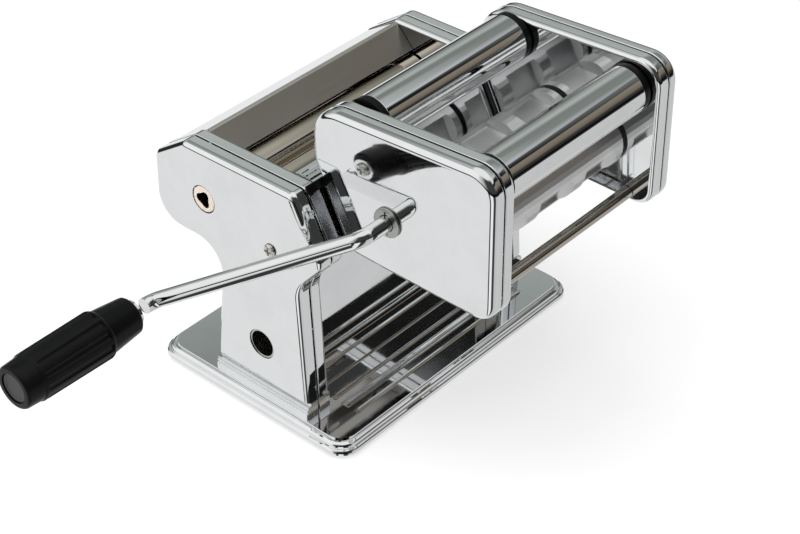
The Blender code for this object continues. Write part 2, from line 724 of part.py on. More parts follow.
def build_rollers():
    """The two smooth rollers, their bearings, gears, drive bush and sliding blocks."""
    rear = body_axis("rear_roller", ROLLER_AXIS_Y, ROLLER_AXIS_Z)
    front = body_axis("front_roller", FRONT_ROLLER_Y, ROLLER_AXIS_Z)
    carriage = body_axis("roller_blocks", FRONT_ROLLER_Y, ROLLER_AXIS_Z)
    half = FRAME_FACE - ROLLER_CLEARANCE
    gear_low = FRAME_FACE + SHEET + 0.0056
    gear_high = gear_low + GEAR_WIDTH
    block_out = FRAME_FACE + SHEET + SEAT_GAP + 0.0040
    for label, y, axis in (("rear", ROLLER_AXIS_Y, rear), ("front", FRONT_ROLLER_Y, front)):
        roller = turned_x(
            f"{label}_smooth_roller",
            [
                (block_out, SHAFT_RADIUS),
                (half, SHAFT_RADIUS),
                (half, ROLLER_RADIUS),
                (-half, ROLLER_RADIUS),
                (-half, SHAFT_RADIUS),
                (-gear_high, SHAFT_RADIUS),
            ],
            y,
            ROLLER_AXIS_Z,
            BRUSHED,
            segments=36,
        )
        phase = 0.0 if label == "rear" else 0.5
        pitch_radius = ROLLER_RADIUS + ROLLER_GAP / 2
        wheel = prism(
            f"{label}_roller_gear",
            gear_outline(y, ROLLER_AXIS_Z, pitch_radius, GEAR_TEETH, phase),
            -gear_high,
            -gear_low,
            GEAR,
        )
        gear_bore = SHAFT_RADIUS + SEAT_GAP
        cut(wheel, hole_cutter(f"{label}_gear_bore", y, ROLLER_AXIS_Z, gear_bore, -0.1, -0.07))
        carry(axis, roller, wheel)

    mouth = -COVER_FACE
    bush_low = -gear_high - SEAT_GAP
    bush = turned_x(
        "drive_bush",
        [
            (bush_low, DRIVE_BUSH_RADIUS),
            (mouth + 0.0006, DRIVE_BUSH_RADIUS),
            (mouth, DRIVE_BUSH_RADIUS - 0.0006),
        ],
        ROLLER_AXIS_Y,
        ROLLER_AXIS_Z,
        BEARING,
        segments=32,
    )
    lobes = []
    for k in range(24):
        a = 2 * pi * k / 24
        r = 0.0046 + 0.0008 * cos(3 * a)
        lobes.append(Vector((ROLLER_AXIS_Y + r * cos(a), ROLLER_AXIS_Z + r * sin(a))))
    keyway = prism_mesh(lobes, mouth - 0.002, mouth + DRIVE_SOCKET_DEPTH)
    cut(bush, add_object("drive_keyway", keyway, None, group=CUTTERS))
    carry(rear, bush)

    for side in (NEAR, FAR):
        flange = FRAME_FACE + SHEET + SEAT_GAP
        outer = [
            (side * (flange + BEARING_FLANGE), BEARING_RADIUS + 0.0020),
            (side * flange, BEARING_RADIUS + 0.0020),
            (side * flange, BEARING_RADIUS),
            (side * (FRAME_FACE + 0.0002), BEARING_RADIUS),
        ]
        turned_x(
            f"{side_name(side)}_roller_bearing",
            by_x(outer),
            ROLLER_AXIS_Y,
            ROLLER_AXIS_Z,
            BEARING,
            bore=SHAFT_RADIUS + RUN_GAP,
            segments=24,
        )
        low, high = span(side, FRAME_FACE + 0.0002, block_out)
        lip_low, lip_high = span(side, flange, block_out)
        front = FRONT_ROLLER_Y - BEARING_RADIUS
        back = FRONT_ROLLER_Y + BEARING_RADIUS
        block_meshes = []
        for x_low, x_high, tall in ((low, high, 0.0), (lip_low, lip_high, 0.0018)):
            foot = ROLLER_AXIS_Z - BEARING_RADIUS - tall
            top = ROLLER_AXIS_Z + BEARING_RADIUS + tall
            block_outline = [(front, foot), (back, foot), (back, top), (front, top)]
            block_meshes.append(prism_mesh(block_outline, x_low, x_high))
        name = f"{side_name(side)}_roller_block"
        block = add_object(name, block_meshes[0], BEARING)
        join = block.modifiers.new("lip", "BOOLEAN")
        join.operation = "UNION"
        join.object = add_object(f"{name}_lip", block_meshes[1], None, group=CUTTERS)
        bore = SHAFT_RADIUS + RUN_GAP
        cut(block, hole_cutter(f"{name}_bore", FRONT_ROLLER_Y, ROLLER_AXIS_Z, bore, -0.12, 0.12))
        carry(carriage, block)


def build_knob():
    """The adjusting shaft with its cam, the numbered dial and the pull-and-turn knob on the far side."""
    y, z = FRONT_ROLLER_Y, ROLLER_AXIS_Z
    axis = body_axis("adjuster", y, z)
    block_out = FRAME_FACE + SHEET + SEAT_GAP + 0.0040
    cam_low = block_out + SEAT_GAP
    cam_high = COVER_FACE - SHEET - SEAT_GAP
    knob_low = COVER_FACE + DIAL_THICKNESS + 2 * SEAT_GAP
    stem_end = knob_low + 0.7 * KNOB_LENGTH
    shaft = turned_x(
        "adjusting_shaft",
        [
            (stem_end, ADJUSTER_RADIUS),
            (cam_high, ADJUSTER_RADIUS),
            (cam_high, CAM_RADIUS),
            (cam_low, CAM_RADIUS),
        ],
        y,
        z,
        BRUSHED,
        segments=28,
    )
    carry(axis, shaft)
    turned_x(
        "knob_dial",
        [(COVER_FACE + SEAT_GAP + DIAL_THICKNESS, DIAL_RADIUS), (COVER_FACE + SEAT_GAP, DIAL_RADIUS)],
        y,
        z,
        GREY,
        bore=ADJUSTER_RADIUS + 2 * RUN_GAP,
        segments=32,
    )
    knob = turned_x(
        "thickness_knob",
        [
            (knob_low + KNOB_LENGTH, KNOB_RADIUS - 0.0030),
            (knob_low + KNOB_LENGTH - 0.0018, KNOB_RADIUS - 0.0006),
            (knob_low + 0.0040, KNOB_RADIUS),
            (knob_low, KNOB_RADIUS),
        ],
        y,
        z,
        BLACK,
        segments=36,
    )
    bore_end = stem_end + SEAT_GAP
    cut(knob, hole_cutter("knob_bore", y, z, ADJUSTER_RADIUS + RUN_GAP, knob_low - 0.001, bore_end))
    carry(axis, knob)


def build_rails():
    """The guide rails on the machine's sloping face."""
    for side in (NEAR, FAR):
        word = side_name(side)
        rail_out = FRAME_RIM - 0.0006
        low, high = span(side, rail_out - RAIL_WIDTH, rail_out)
        corners = [
            (low, 0.0, RAIL_WIDTH * 0.42),
            (high, 0.0, RAIL_WIDTH * 0.42),
            (high, RAIL_LENGTH, 0.0),
            (low, RAIL_LENGTH, 0.0),
        ]
        bm = bmesh.new()
        bottom = [bm.verts.new((p[0], *on_slope(RAIL_TOP + p[1], SEAT_GAP))) for p in rounded(corners)]
        face = bm.faces.new(bottom)
        grown = bmesh.ops.extrude_face_region(bm, geom=[face])
        lift = FORWARD * RAIL_HEIGHT
        moved = [v for v in grown["geom"] if isinstance(v, bmesh.types.BMVert)]
        bmesh.ops.translate(bm, vec=(0, lift.x, lift.y), verts=moved)
        bmesh.ops.recalc_face_normals(bm, faces=bm.faces)
        add_object(f"{word}_guide_rail", bm, BRUSHED)


def shoe_outline():
    """Side view of a shoe, which fills the gap behind the plates and stands on the rail's top end."""
    foot = RAIL_TOP - SEAT_GAP
    head = foot - SHOE_HEIGHT
    back = SEAT_GAP
    front = back + SHOE_THICKNESS
    return [on_slope(head, back), on_slope(head, front), on_slope(foot, front), on_slope(foot, back)]


def build_attachment():
    lift_y, lift_z = on_slope(0.0, PLATE_STANDOFF)
    axis = body_axis("attachment", lift_y, lift_z)
    for side in (NEAR, FAR):
        word = side_name(side)
        plate_rim = side * (INNER_RIM + PARTING)
        outer = pan(
            f"{word}_attachment_plate", PLATE_OUTLINE, side * PLATE_FACE, plate_rim, CHROME, PLATE_EDGE
        )
        inner = pan(
            f"{word}_attachment_inner_plate",
            PLATE_OUTLINE,
            side * INNER_FACE,
            side * INNER_RIM,
            CHROME,
            FRAME_EDGE,
        )
        low, high = span(side, INNER_FACE - 0.002, INNER_FACE + 0.004)
        bore = MOULD_SHAFT_RADIUS + RUN_GAP
        for label, y in (("rear", MOULD_AXIS_Y), ("front", FRONT_MOULD_Y)):
            cut(inner, hole_cutter(f"{word}_{label}_mould_hole", y, MOULD_AXIS_Z, bore, low, high, 28))
        pin_bore = GUIDE_PIN_RADIUS + RUN_GAP
        for label, (y, z) in (("rear", GUIDE_REAR), ("front", GUIDE_FRONT)):
            cut(inner, hole_cutter(f"{word}_{label}_guide_hole", y, z, pin_bore, low, high, 20))
        if side == NEAR:
            cut(outer, hole_cutter("crank_hole", MOULD_AXIS_Y, MOULD_AXIS_Z, bore, -0.09, -0.07, 28))
        shoe_low, shoe_high = span(side, FRAME_RIM - SHOE_REACH, FRAME_RIM)
        shoe = prism(f"{word}_rail_shoe", shoe_outline(), shoe_low, shoe_high, BLACK, bevel=0.0004)
        carry(axis, outer, inner, shoe)

    half = INNER_FACE - SEAT_GAP
    for label, (y, z) in (("front", BAR_FRONT), ("rear", BAR_REAR)):
        ends = [(half, BAR_RADIUS), (-half, BAR_RADIUS)]
        bar = turned_x(f"{label}_cross_bar", ends, y, z, BRUSHED, segments=20)
        carry(axis, bar)
    for label, y, lean in (("rear", MOULD_AXIS_Y, -1), ("front", FRONT_MOULD_Y, 1)):
        angle = radians(50)
        reach = MOULD_RADIUS + ROLLER_CLEARANCE
        edge_y = y + lean * reach * cos(angle)
        edge_z = MOULD_AXIS_Z - reach * sin(angle)
        stripper = sheet_x(
            f"{label}_stripper",
            [
                (edge_y, edge_z, 0.0),
                (edge_y - lean * 0.0015, edge_z - 0.0090, 0.0010),
                (edge_y - lean * 0.0100, edge_z - 0.0110, 0.0),
            ],
            half,
            BRUSHED,
            offset=0,
        )
        carry(axis, stripper)


def pocket_cutters(y, z, half, name):
    """Square pockets sunk into a mould roller, in rows along it and around it."""
    bm = bmesh.new()
    cell = 2 * half / POCKETS_ALONG
    width = cell - POCKET_FRAME
    height = 2 * MOULD_RADIUS * sin(pi / POCKETS_AROUND) - POCKET_FRAME
    height = min(height, width)
    for row in range(POCKETS_AROUND):
        turn = Matrix.Rotation(2 * pi * row / POCKETS_AROUND, 4, "X")
        for column in range(POCKETS_ALONG):
            x = -half + cell * (column + 0.5)
            size = Matrix.Diagonal((width, height, 2 * POCKET_DEPTH, 1))
            place = Matrix.Translation((0, y, z)) @ turn @ Matrix.Translation((x, 0, MOULD_RADIUS))
            made = bmesh.ops.create_cube(bm, size=1.0, matrix=place @ size)
            floor = [v for v in made["verts"] if ((place @ size).inverted() @ v.co).z < 0]
            bmesh.ops.scale(bm, vec=(0.72, 0.72, 1.0), space=place.inverted(), verts=floor)
    return add_object(name, bm, None, group=CUTTERS)


def build_moulds():
    """The two pocketed mould rollers with their gears, and the hub that takes the crank."""
    half = INNER_FACE - 2 * ROLLER_CLEARANCE
    gear_low = INNER_FACE + SHEET + 0.0016
    gear_high = gear_low + GEAR_WIDTH
    pitch_radius = MOULD_RADIUS + MOULD_GAP / 2
    for label, y, phase in (("rear", MOULD_AXIS_Y, 0.0), ("front", FRONT_MOULD_Y, 0.5)):
        axis = body_axis(f"{label}_mould", y, MOULD_AXIS_Z)
        near_end = PLATE_FACE - SEAT_GAP if label == "rear" else INNER_RIM
        roller = turned_x(
            f"{label}_mould_roller",
            [
                (gear_high, MOULD_SHAFT_RADIUS),
                (half, MOULD_SHAFT_RADIUS),
                (half, MOULD_RADIUS),
                (-half, MOULD_RADIUS),
                (-half, MOULD_SHAFT_RADIUS),
                (-near_end, MOULD_SHAFT_RADIUS),
            ],
            y,
            MOULD_AXIS_Z,
            MOULD,
            segments=36,
        )
        cut(roller, pocket_cutters(y, MOULD_AXIS_Z, half, f"{label}_pockets"))
        wheel = prism(
            f"{label}_mould_gear",
            gear_outline(y, MOULD_AXIS_Z, pitch_radius, MOULD_GEAR_TEETH, phase),
            gear_low,
            gear_high,
            GEAR,
        )
        gear_bore = MOULD_SHAFT_RADIUS + SEAT_GAP
        cut(wheel, hole_cutter(f"{label}_mould_gear_bore", y, MOULD_AXIS_Z, gear_bore, 0.05, 0.09, 28))
        carry(axis, roller, wheel)
        if label == "rear":
            bore = ROD_RADIUS + RUN_GAP
            bore_end = CRANK_SIDE + CRANK_INSERT + RUN_GAP
            socket = hole_cutter("crank_socket", y, MOULD_AXIS_Z, bore, CRANK_SIDE - 0.002, bore_end)
            cut(roller, socket)
            hub = turned_x(
                "crank_hub_washer",
                [
                    (CRANK_SIDE - SEAT_GAP, HUB_RADIUS),
                    (CRANK_SIDE - SEAT_GAP - 0.6 * HUB_THICKNESS, HUB_RADIUS),
                    (CRANK_SIDE - SEAT_GAP - HUB_THICKNESS, HUB_RADIUS - 0.0008),
                ],
                y,
                MOULD_AXIS_Z,
                BRUSHED,
                bore=bore,
                segments=32,
            )
            carry(axis, hub)


def build_guides():
    """The two free guide rollers under the dough, each a steel tube on a plastic spool with stub pins."""
    length = INNER_FACE - ROLLER_CLEARANCE
    cap = 0.0040
    core = 0.0045
    inside = GUIDE_RADIUS - GUIDE_WALL - SEAT_GAP
    for label, (y, z) in (("rear", GUIDE_REAR), ("front", GUIDE_FRONT)):
        axis = body_axis(f"{label}_guide", y, z)
        tube_end = length - cap - SEAT_GAP
        tube = turned_x(
            f"{label}_guide_tube",
            [(tube_end, GUIDE_RADIUS), (-tube_end, GUIDE_RADIUS)],
            y,
            z,
            CHROME,
            bore=GUIDE_RADIUS - GUIDE_WALL,
            segments=32,
        )
        far_half = [
            (INNER_FACE + SHEET + 0.0030, GUIDE_PIN_RADIUS),
            (length, GUIDE_PIN_RADIUS),
            (length, GUIDE_RADIUS),
            (length - cap, GUIDE_RADIUS),
            (length - cap, inside),
            (length - cap - 0.0050, inside),
            (length - cap - 0.0050, core),
        ]
        spool = turned_x(
            f"{label}_guide_spool",
            far_half + [(-x, radius) for x, radius in far_half[::-1]],
            y,
            z,
            BLACK,
            segments=24,
        )
        carry(axis, tube, spool)


def crank_route():
    """The corners of the rod's centre line, from inside the mould roller's socket to the strap."""
    angle = radians(CRANK_REST_ANGLE)
    y = MOULD_AXIS_Y + CRANK_ARM * cos(angle)
    z = MOULD_AXIS_Z + CRANK_ARM * sin(angle)
    knee_x = CRANK_SIDE - CRANK_OUT
    elbow_x = knee_x - CRANK_LEAN
    return [
        Vector((CRANK_SIDE + CRANK_INSERT, MOULD_AXIS_Y, MOULD_AXIS_Z)),
        Vector((knee_x, MOULD_AXIS_Y, MOULD_AXIS_Z)),
        Vector((elbow_x, y, z)),
        Vector((elbow_x - STUB_LENGTH, y, z)),
    ]


def bend_points(route, radius, steps=6):
    """The route with an arc of this radius at each of its inner corners."""
    points = [route[0]]
    for before, corner, after in zip(route, route[1:], route[2:]):
        to_before = (before - corner).normalized()
        to_after = (after - corner).normalized()
        half = to_before.angle(to_after) / 2
        centre = corner + (to_before + to_after).normalized() * radius / sin(half)
        start = corner + to_before * radius / tan(half) - centre
        spin = to_before.cross(to_after)
        turn = pi - 2 * half
        for k in range(steps + 1):
            points.append(centre + Matrix.Rotation(-turn * k / steps, 3, spin) @ start)
    points.append(route[-1])
    return points


def build_crank():
    """The bent rod with its flattened eye, the screw through the eye, and the grip that turns on it."""
    route = crank_route()
    stub_end = route[-1]
    lift = Vector((cos(radians(SCREW_LEAN)), sin(radians(SCREW_LEAN))))
    across = Vector((lift.y, -lift.x))
    eye = Vector((stub_end.y, stub_end.z)) + lift * EYE_LIFT
    strap_far = stub_end.x - STRAP_LENGTH
    grip_in = strap_far - SEAT_GAP
    grip_out = grip_in - GRIP_LENGTH

    crank = body_axis("crank", MOULD_AXIS_Y, MOULD_AXIS_Z, CRANK_SIDE)
    rod = as_mesh(rod_curve("crank_rod", bend_points(route, CRANK_BEND), ROD_RADIUS, 4), CHROME)
    low = eye - lift * EYE_RADIUS
    strap_outline = [
        low - across * STRAP_WIDTH / 2,
        low + across * STRAP_WIDTH / 2,
        low + across * STRAP_WIDTH / 2 + lift * STRAP_THICKNESS,
        low - across * STRAP_WIDTH / 2 + lift * STRAP_THICKNESS,
    ]
    strap_mesh = prism_mesh(strap_outline, strap_far, stub_end.x + 0.0020)
    strap = add_object("crank_strap", strap_mesh, None, group=CUTTERS)
    disc = prism_mesh(circle(*eye, EYE_RADIUS, 24, 0.5), strap_far, strap_far + EYE_THICKNESS)
    plate = add_object("crank_eye", disc, None, group=CUTTERS)
    for extra in (strap, plate):
        join = rod.modifiers.new("join_" + extra.name, "BOOLEAN")
        join.operation = "UNION"
        join.object = extra
    eye_bore = PIN_RADIUS + SEAT_GAP
    eye_far = strap_far + EYE_THICKNESS
    cut(rod, hole_cutter("eye_hole", *eye, eye_bore, strap_far - 0.001, eye_far + 0.001, 20))
    head = eye_far + SEAT_GAP
    pin_end = grip_out + GRIP_END
    screw = turned_x(
        "grip_screw",
        [
            (head + PIN_HEAD, 0.80 * PIN_HEAD_RADIUS),
            (head + 0.6 * PIN_HEAD, PIN_HEAD_RADIUS),
            (head, PIN_HEAD_RADIUS),
            (head, PIN_RADIUS),
            (pin_end, PIN_RADIUS),
        ],
        *eye,
        BRUSHED,
        segments=24,
    )
    cross_slots(screw, head + PIN_HEAD, FAR, *eye, PIN_HEAD_RADIUS, 0.55 * PIN_HEAD)
    carry(crank, rod, screw)

    grip_axis = body_axis("grip", *eye, grip_in)
    mid_in = grip_in - GRIP_COLLAR
    mid_out = grip_out + GRIP_END
    grip = turned_x(
        "crank_grip",
        [
            (grip_in, GRIP_RADIUS_IN - GRIP_ROUNDING),
            (grip_in - GRIP_ROUNDING, GRIP_RADIUS_IN),
            (mid_in + 0.3 * GRIP_ROUNDING, GRIP_NECK_RADIUS),
            (mid_in, GRIP_BODY_IN),
            (mid_out, GRIP_BODY_OUT),
            (mid_out - 0.3 * GRIP_ROUNDING, GRIP_CAP_RADIUS),
            (grip_out + 0.7 * GRIP_ROUNDING, GRIP_RADIUS_OUT),
            (grip_out, GRIP_RADIUS_OUT - 0.7 * GRIP_ROUNDING),
        ],
        *eye,
        BLACK,
        segments=36,
    )
    grip_bore = PIN_RADIUS + RUN_GAP
    cut(grip, hole_cutter("grip_bore", *eye, grip_bore, pin_end - RUN_GAP, grip_in + 0.002))
    recess = 0.0030
    cut(grip, hole_cutter("plug_recess", *eye, PLUG_RADIUS + SEAT_GAP, grip_out - 0.001, grip_out + recess))
    plug = turned_x(
        "grip_end_plug",
        [(grip_out + recess - SEAT_GAP, PLUG_RADIUS), (grip_out + 0.0008, PLUG_RADIUS)],
        *eye,
        GREY,
        segments=32,
    )
    carry(grip_axis, grip, plug)


build_base()
for which in (NEAR, FAR):
    build_riser(which)
    build_side(which)
build_screws()
build_ties()
build_socket()
build_sheets()
build_rollers()
build_knob()
build_rails()
build_attachment()
build_moulds()
build_guides()
build_crank()
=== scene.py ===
"""Looks of the pasta machine with its ravioli attachment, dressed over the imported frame."""

from math import cos, pi, radians, sin, tan

import bmesh
import bpy
from mathutils import Matrix, Vector


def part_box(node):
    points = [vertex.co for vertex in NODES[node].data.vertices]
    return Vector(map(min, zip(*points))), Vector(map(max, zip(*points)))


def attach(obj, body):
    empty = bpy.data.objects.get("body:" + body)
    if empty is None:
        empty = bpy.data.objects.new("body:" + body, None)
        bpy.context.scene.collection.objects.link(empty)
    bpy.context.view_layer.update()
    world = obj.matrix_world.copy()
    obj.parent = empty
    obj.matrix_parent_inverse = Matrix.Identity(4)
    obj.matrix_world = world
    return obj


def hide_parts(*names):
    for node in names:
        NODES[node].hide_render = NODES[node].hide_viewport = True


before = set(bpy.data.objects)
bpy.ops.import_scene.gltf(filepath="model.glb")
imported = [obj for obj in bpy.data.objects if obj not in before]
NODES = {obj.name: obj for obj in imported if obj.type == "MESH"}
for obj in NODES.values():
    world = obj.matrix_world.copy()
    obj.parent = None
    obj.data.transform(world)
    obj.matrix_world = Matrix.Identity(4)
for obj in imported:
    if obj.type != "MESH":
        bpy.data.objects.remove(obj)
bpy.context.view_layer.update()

NEAR, FAR = -1, 1
SIDES = ((NEAR, "near"), (FAR, "far"))
SHEET = 0.0012

NOSE_Y, NOSE_Z = -0.0545, 0.1195

# Side boxes, as (y, z, corner radius) seen along the rollers
BOX_CORNERS = [
    (-0.0396, 0.0181, 0.0), (0.0312, 0.0181, 0.0), (0.0215, 0.0958, 0.0170),
    (0.0715, 0.0958, 0.0180), (0.0705, 0.1392, 0.0050), (0.0462, 0.1560, 0.0052),
    (-0.0350, 0.1575, 0.0052), (NOSE_Y, NOSE_Z, 0.0060), (-0.0358, 0.0980, 0.0180),
]
COVER_FACE = 0.0947
COVER_RIM = 0.0857
FRAME_RIM = 0.0845
FRAME_FACE = 0.0763
COVER_EDGE = 0.0042
FRAME_EDGE = 0.0028
FRONT_Y = -0.0396
BACK_FOOT_Y = 0.0312
INNER_HALF = 0.0760

# The sloping front face that carries the attachment
SLOPE_TOP = Vector((-0.0350, 0.1575))
DOWN_SLOPE = (Vector((NOSE_Y, NOSE_Z)) - SLOPE_TOP).normalized()
OUT_OF_SLOPE = Vector((DOWN_SLOPE.y, -DOWN_SLOPE.x))

# Rollers, screws, sockets and knob
ROLLER_Z = 0.1249
REAR_ROLLER_Y = 0.0323
FRONT_ROLLER_Y = 0.0039
ROLLER_RADIUS = 0.0137
SCREW_PLACE = (-0.0172, 0.1149)
SOCKET_PLACE = (-0.0065, 0.0455)
DRIVE_PLACE = (0.0323, 0.1249)
KNOB_PLACE = (0.0039, 0.1249)
BASE_TOP_Z = 0.0082
SCREW_HOLE = 0.0025
SOCKET_HOLE = 0.0093
HEAD_RADIUS = 0.0040
TIE_RADIUS = 0.0040
ROLLER_GAP = 0.0010
HOPPER_STRIP = 0.0155
STRIP_RIDGE = 0.0012
KEYWAY_RADIUS = 0.0046
DIAL_RADIUS = 0.0188
KNOB_RADIUS = 0.0160
KNOB_HOLE = 0.0048
KNOB_RIBS = 24

# Attachment
PLATE_FACE = 0.0758
PLATE_RIM = 0.0677
INNER_RIM = 0.0665
INNER_FACE = 0.0589
PLATE_EDGE = 0.0050
MOULD_PLACES = {"rear": (-0.0841, 0.1547), "front": (-0.1171, 0.1547)}
MOULD_RADIUS = 0.0160
GUIDE_PLACES = {"rear": (-0.0546, 0.1924), "front": (-0.1331, 0.1919)}
GUIDE_RADIUS = 0.0140
MOULD_HOLE = 0.0068
GUIDE_HOLE = 0.0033
ATTACHMENT_HALF = 0.0586
PLATE_FRONT_Y = -0.1522
PLATE_FOOT_Z = 0.1212
BAR_PLACES = {"front": (-0.1365, 0.1268), "rear": (-0.0720, 0.1285)}


def on_slope(down, forward):
    """A (y, z) point measured down the sloping front face and out from it."""
    return SLOPE_TOP + DOWN_SLOPE * down + OUT_OF_SLOPE * forward


# What the finishes of the base and the attachment plates follow
PANEL_FOOT_Y = -0.0335
FLOOR_FRONT_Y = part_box("base_plate")[0].y + 0.0088
FLOOR_CHANNELS = [
    (0.00, 1.00), (0.14, 1.00), (0.19, 0.70), (0.24, 1.00), (0.36, 1.00), (0.47, 0.00),
    (0.56, 1.00), (0.68, 1.00), (0.72, 0.78), (0.78, 1.00), (1.00, 1.00),
]
CHANNEL_ENDS = (0.0730, 0.0690)
PLATE_TOP_Z = 0.2011
PLATE_TOP_SLOPE = 0.0685

# Materials


class Value:
    """A socket of a material, on which an expression adds Math nodes."""

    def __init__(self, finish, socket):
        self.finish = finish
        self.socket = socket

    def worked(self, operation, first, second):
        return self.finish.node("ShaderNodeMath", {"operation": operation}, {0: first, 1: second})

    def __add__(self, other):
        return self.worked("ADD", self, other)

    def __sub__(self, other):
        return self.worked("SUBTRACT", self, other)

    def __rsub__(self, other):
        return self.worked("SUBTRACT", other, self)

    def __mul__(self, other):
        return self.worked("MULTIPLY", self, other)

    def __truediv__(self, other):
        return self.worked("DIVIDE", self, other)

    def __rtruediv__(self, other):
        return self.worked("DIVIDE", other, self)

    __radd__ = __add__
    __rmul__ = __mul__

    def output(self, name):
        """Another output of the same node."""
        return Value(self.finish, self.socket.node.outputs[name])


class Finish:
    """A node tree that is filled by one method."""

    def __init__(self, tree):
        self.tree = tree
        tree.nodes.clear()

    def node(self, kind, settings=None, sockets=None, out=0):
        made = self.tree.nodes.new(kind)
        for key, value in (settings or {}).items():
            if key == "stops":
                ramp = made.color_ramp
                while len(ramp.elements) < len(value):
                    ramp.elements.new(0.5)
                for element, (place, colour) in zip(ramp.elements, value):
                    element.position = place
                    element.color = (*colour, 1.0)
            elif key == "blend_of_stops":
                made.color_ramp.interpolation = value
            else:
                setattr(made, key, value)
        for key, value in (sockets or {}).items():
            if isinstance(value, Value):
                self.tree.links.new(value.socket, made.inputs[key])
            else:
                made.inputs[key].default_value = value
        return Value(self, made.outputs[out] if made.outputs else None)

    def place(self, scale=(1.0, 1.0, 1.0), turn=(0.0, 0.0, 0.0), shift=(0.0, 0.0, 0.0)):
        """Object coordinates, stretched so that a pattern follows the grain of the piece."""
        coordinates = self.node("ShaderNodeTexCoord", out="Object")
        fields = {"Vector": coordinates, "Scale": scale, "Rotation": turn, "Location": shift}
        return self.node("ShaderNodeMapping", None, fields)

    def noise(self, where, scale, detail=4.0, roughness=0.55):
        fields = {"Vector": where, "Scale": scale, "Detail": detail, "Roughness": roughness}
        return self.node("ShaderNodeTexNoise", None, fields)

    def along(self, axis):
        """One coordinate of the piece's points."""
        where = self.node("ShaderNodeTexCoord", out="Object")
        return self.node("ShaderNodeSeparateXYZ", None, {0: where}, axis)

    def share(self, value, low, high):
        """How far a number has come on its way from low to high, as 0 to 1."""
        fields = {"Value": value, "From Min": low, "From Max": high}
        return self.node("ShaderNodeMapRange", None, fields)

    def mixed(self, blend, mask, low, high):
        """A colour mixed from two, each a colour or the result of another node."""
        low, high = (end if isinstance(end, Value) else (*end, 1.0) for end in (low, high))
        settings = {"data_type": "RGBA", "blend_type": blend}
        return self.node("ShaderNodeMix", settings, {0: mask, 6: low, 7: high}, out=2)

    def colours(self, mask, low, high):
        return self.mixed("MIX", mask, low, high)

    def shaded(self, colour, level):
        """A colour made darker by a number, through Vector Math."""
        return self.node(
            "ShaderNodeVectorMath", {"operation": "SCALE"}, {0: colour, "Scale": level}
        )

    def bump(self, height, depth, strength=1.0, under=None):
        fields = {"Height": height, "Distance": depth, "Strength": strength}
        if under is not None:
            fields["Normal"] = under
        return self.node("ShaderNodeBump", None, fields)


def finish(name, **sockets):
    """A material and the maker of its nodes; what is the same all over is set on the shader."""
    material = bpy.data.materials.new(name)
    material.use_nodes = True
    maker = Finish(material.node_tree)
    shader = maker.node("ShaderNodeBsdfPrincipled", None, sockets)
    maker.node("ShaderNodeOutputMaterial", None, {"Surface": shader})
    maker.shader = shader.socket.node
    maker.material = material
    return maker


def feed(maker, **sockets):
    for key, value in sockets.items():
        maker.tree.links.new(value.socket, maker.shader.inputs[key.replace("_", " ")])
    return maker.material


def dimmed(tint, level):
    return tuple(c * level for c in tint)


BRUSHED_GRAIN = (14.0, 1400.0, 1400.0)


def make_chrome(name, tint, smudge, wave, channels=0.0, crown=0.0):
    """Plated sheet: a mirror with faint handling marks, fine polishing lines and a slight wave."""
    maker = finish(name, Metallic=1.0)
    marks = maker.noise(maker.place(), 34.0, 6.0, 0.62)
    fine = maker.noise(maker.place((900.0, 60.0, 60.0)), 1.0, 2.0)
    wear = maker.node(
        "ShaderNodeValToRGB", {"stops": [(0.46, (0, 0, 0)), (0.78, (1, 1, 1))]}, {"Fac": marks}
    )
    roughness = 0.022 + wear * smudge + fine * 0.012
    colour = maker.colours(wear, tint, dimmed(tint, 0.93))
    slow = maker.noise(maker.place((9.0, 9.0, 9.0)), 1.0, 1.0)
    normal = maker.bump(slow, wave)
    if channels or crown:
        back = maker.along("Y")
        height = back.output("Z")
    if channels:
        # Shallow channels pressed along the floor of the base, in front of the panel
        share = maker.share(back, PANEL_FOOT_Y, FLOOR_FRONT_Y)
        drawn = maker.noise(maker.place((2.2, 40.0, 8.0)), 1.0, 0.5)
        stops = [(at, (tall, tall, tall)) for at, tall in FLOOR_CHANNELS]
        eased = {"blend_of_stops": "EASE", "stops": stops}
        relief = maker.node("ShaderNodeValToRGB", eased, {"Fac": share})
        aside = maker.node("ShaderNodeMath", {"operation": "ABSOLUTE"}, {0: back.output("X")})
        inside = maker.share(aside, *CHANNEL_ENDS)
        normal = maker.bump((relief - 1.0 + (drawn - 0.5) * 0.12) * inside, channels, 1.0, normal)
    if crown:
        # The plate falls away slightly towards its top rim
        below_rim = PLATE_TOP_Z - back * PLATE_TOP_SLOPE - height
        fall = maker.node("ShaderNodeMath", {"operation": "EXPONENT"}, {0: below_rim * -100.0})
        normal = maker.bump(1.0 - fall, crown, 1.0, normal)
    return feed(maker, Base_Color=colour, Roughness=roughness, Normal=normal)


def make_turned_steel(name, tint, roughness, lines, depth=0.000012):
    """Steel turned on a lathe about X: fine rings round the piece and uneven sheen along it."""
    maker = finish(name, Metallic=1.0)
    rings = maker.noise(maker.place((lines, 12.0, 12.0)), 1.0, 3.0)
    patches = maker.noise(maker.place((40.0, 90.0, 90.0)), 1.0, 4.0)
    rough = roughness + rings * 0.02 + patches * 0.05
    colour = maker.colours(patches, tint, dimmed(tint, 0.82))
    normal = maker.bump(rings, depth, 0.6)
    return feed(maker, Base_Color=colour, Roughness=rough, Normal=normal)


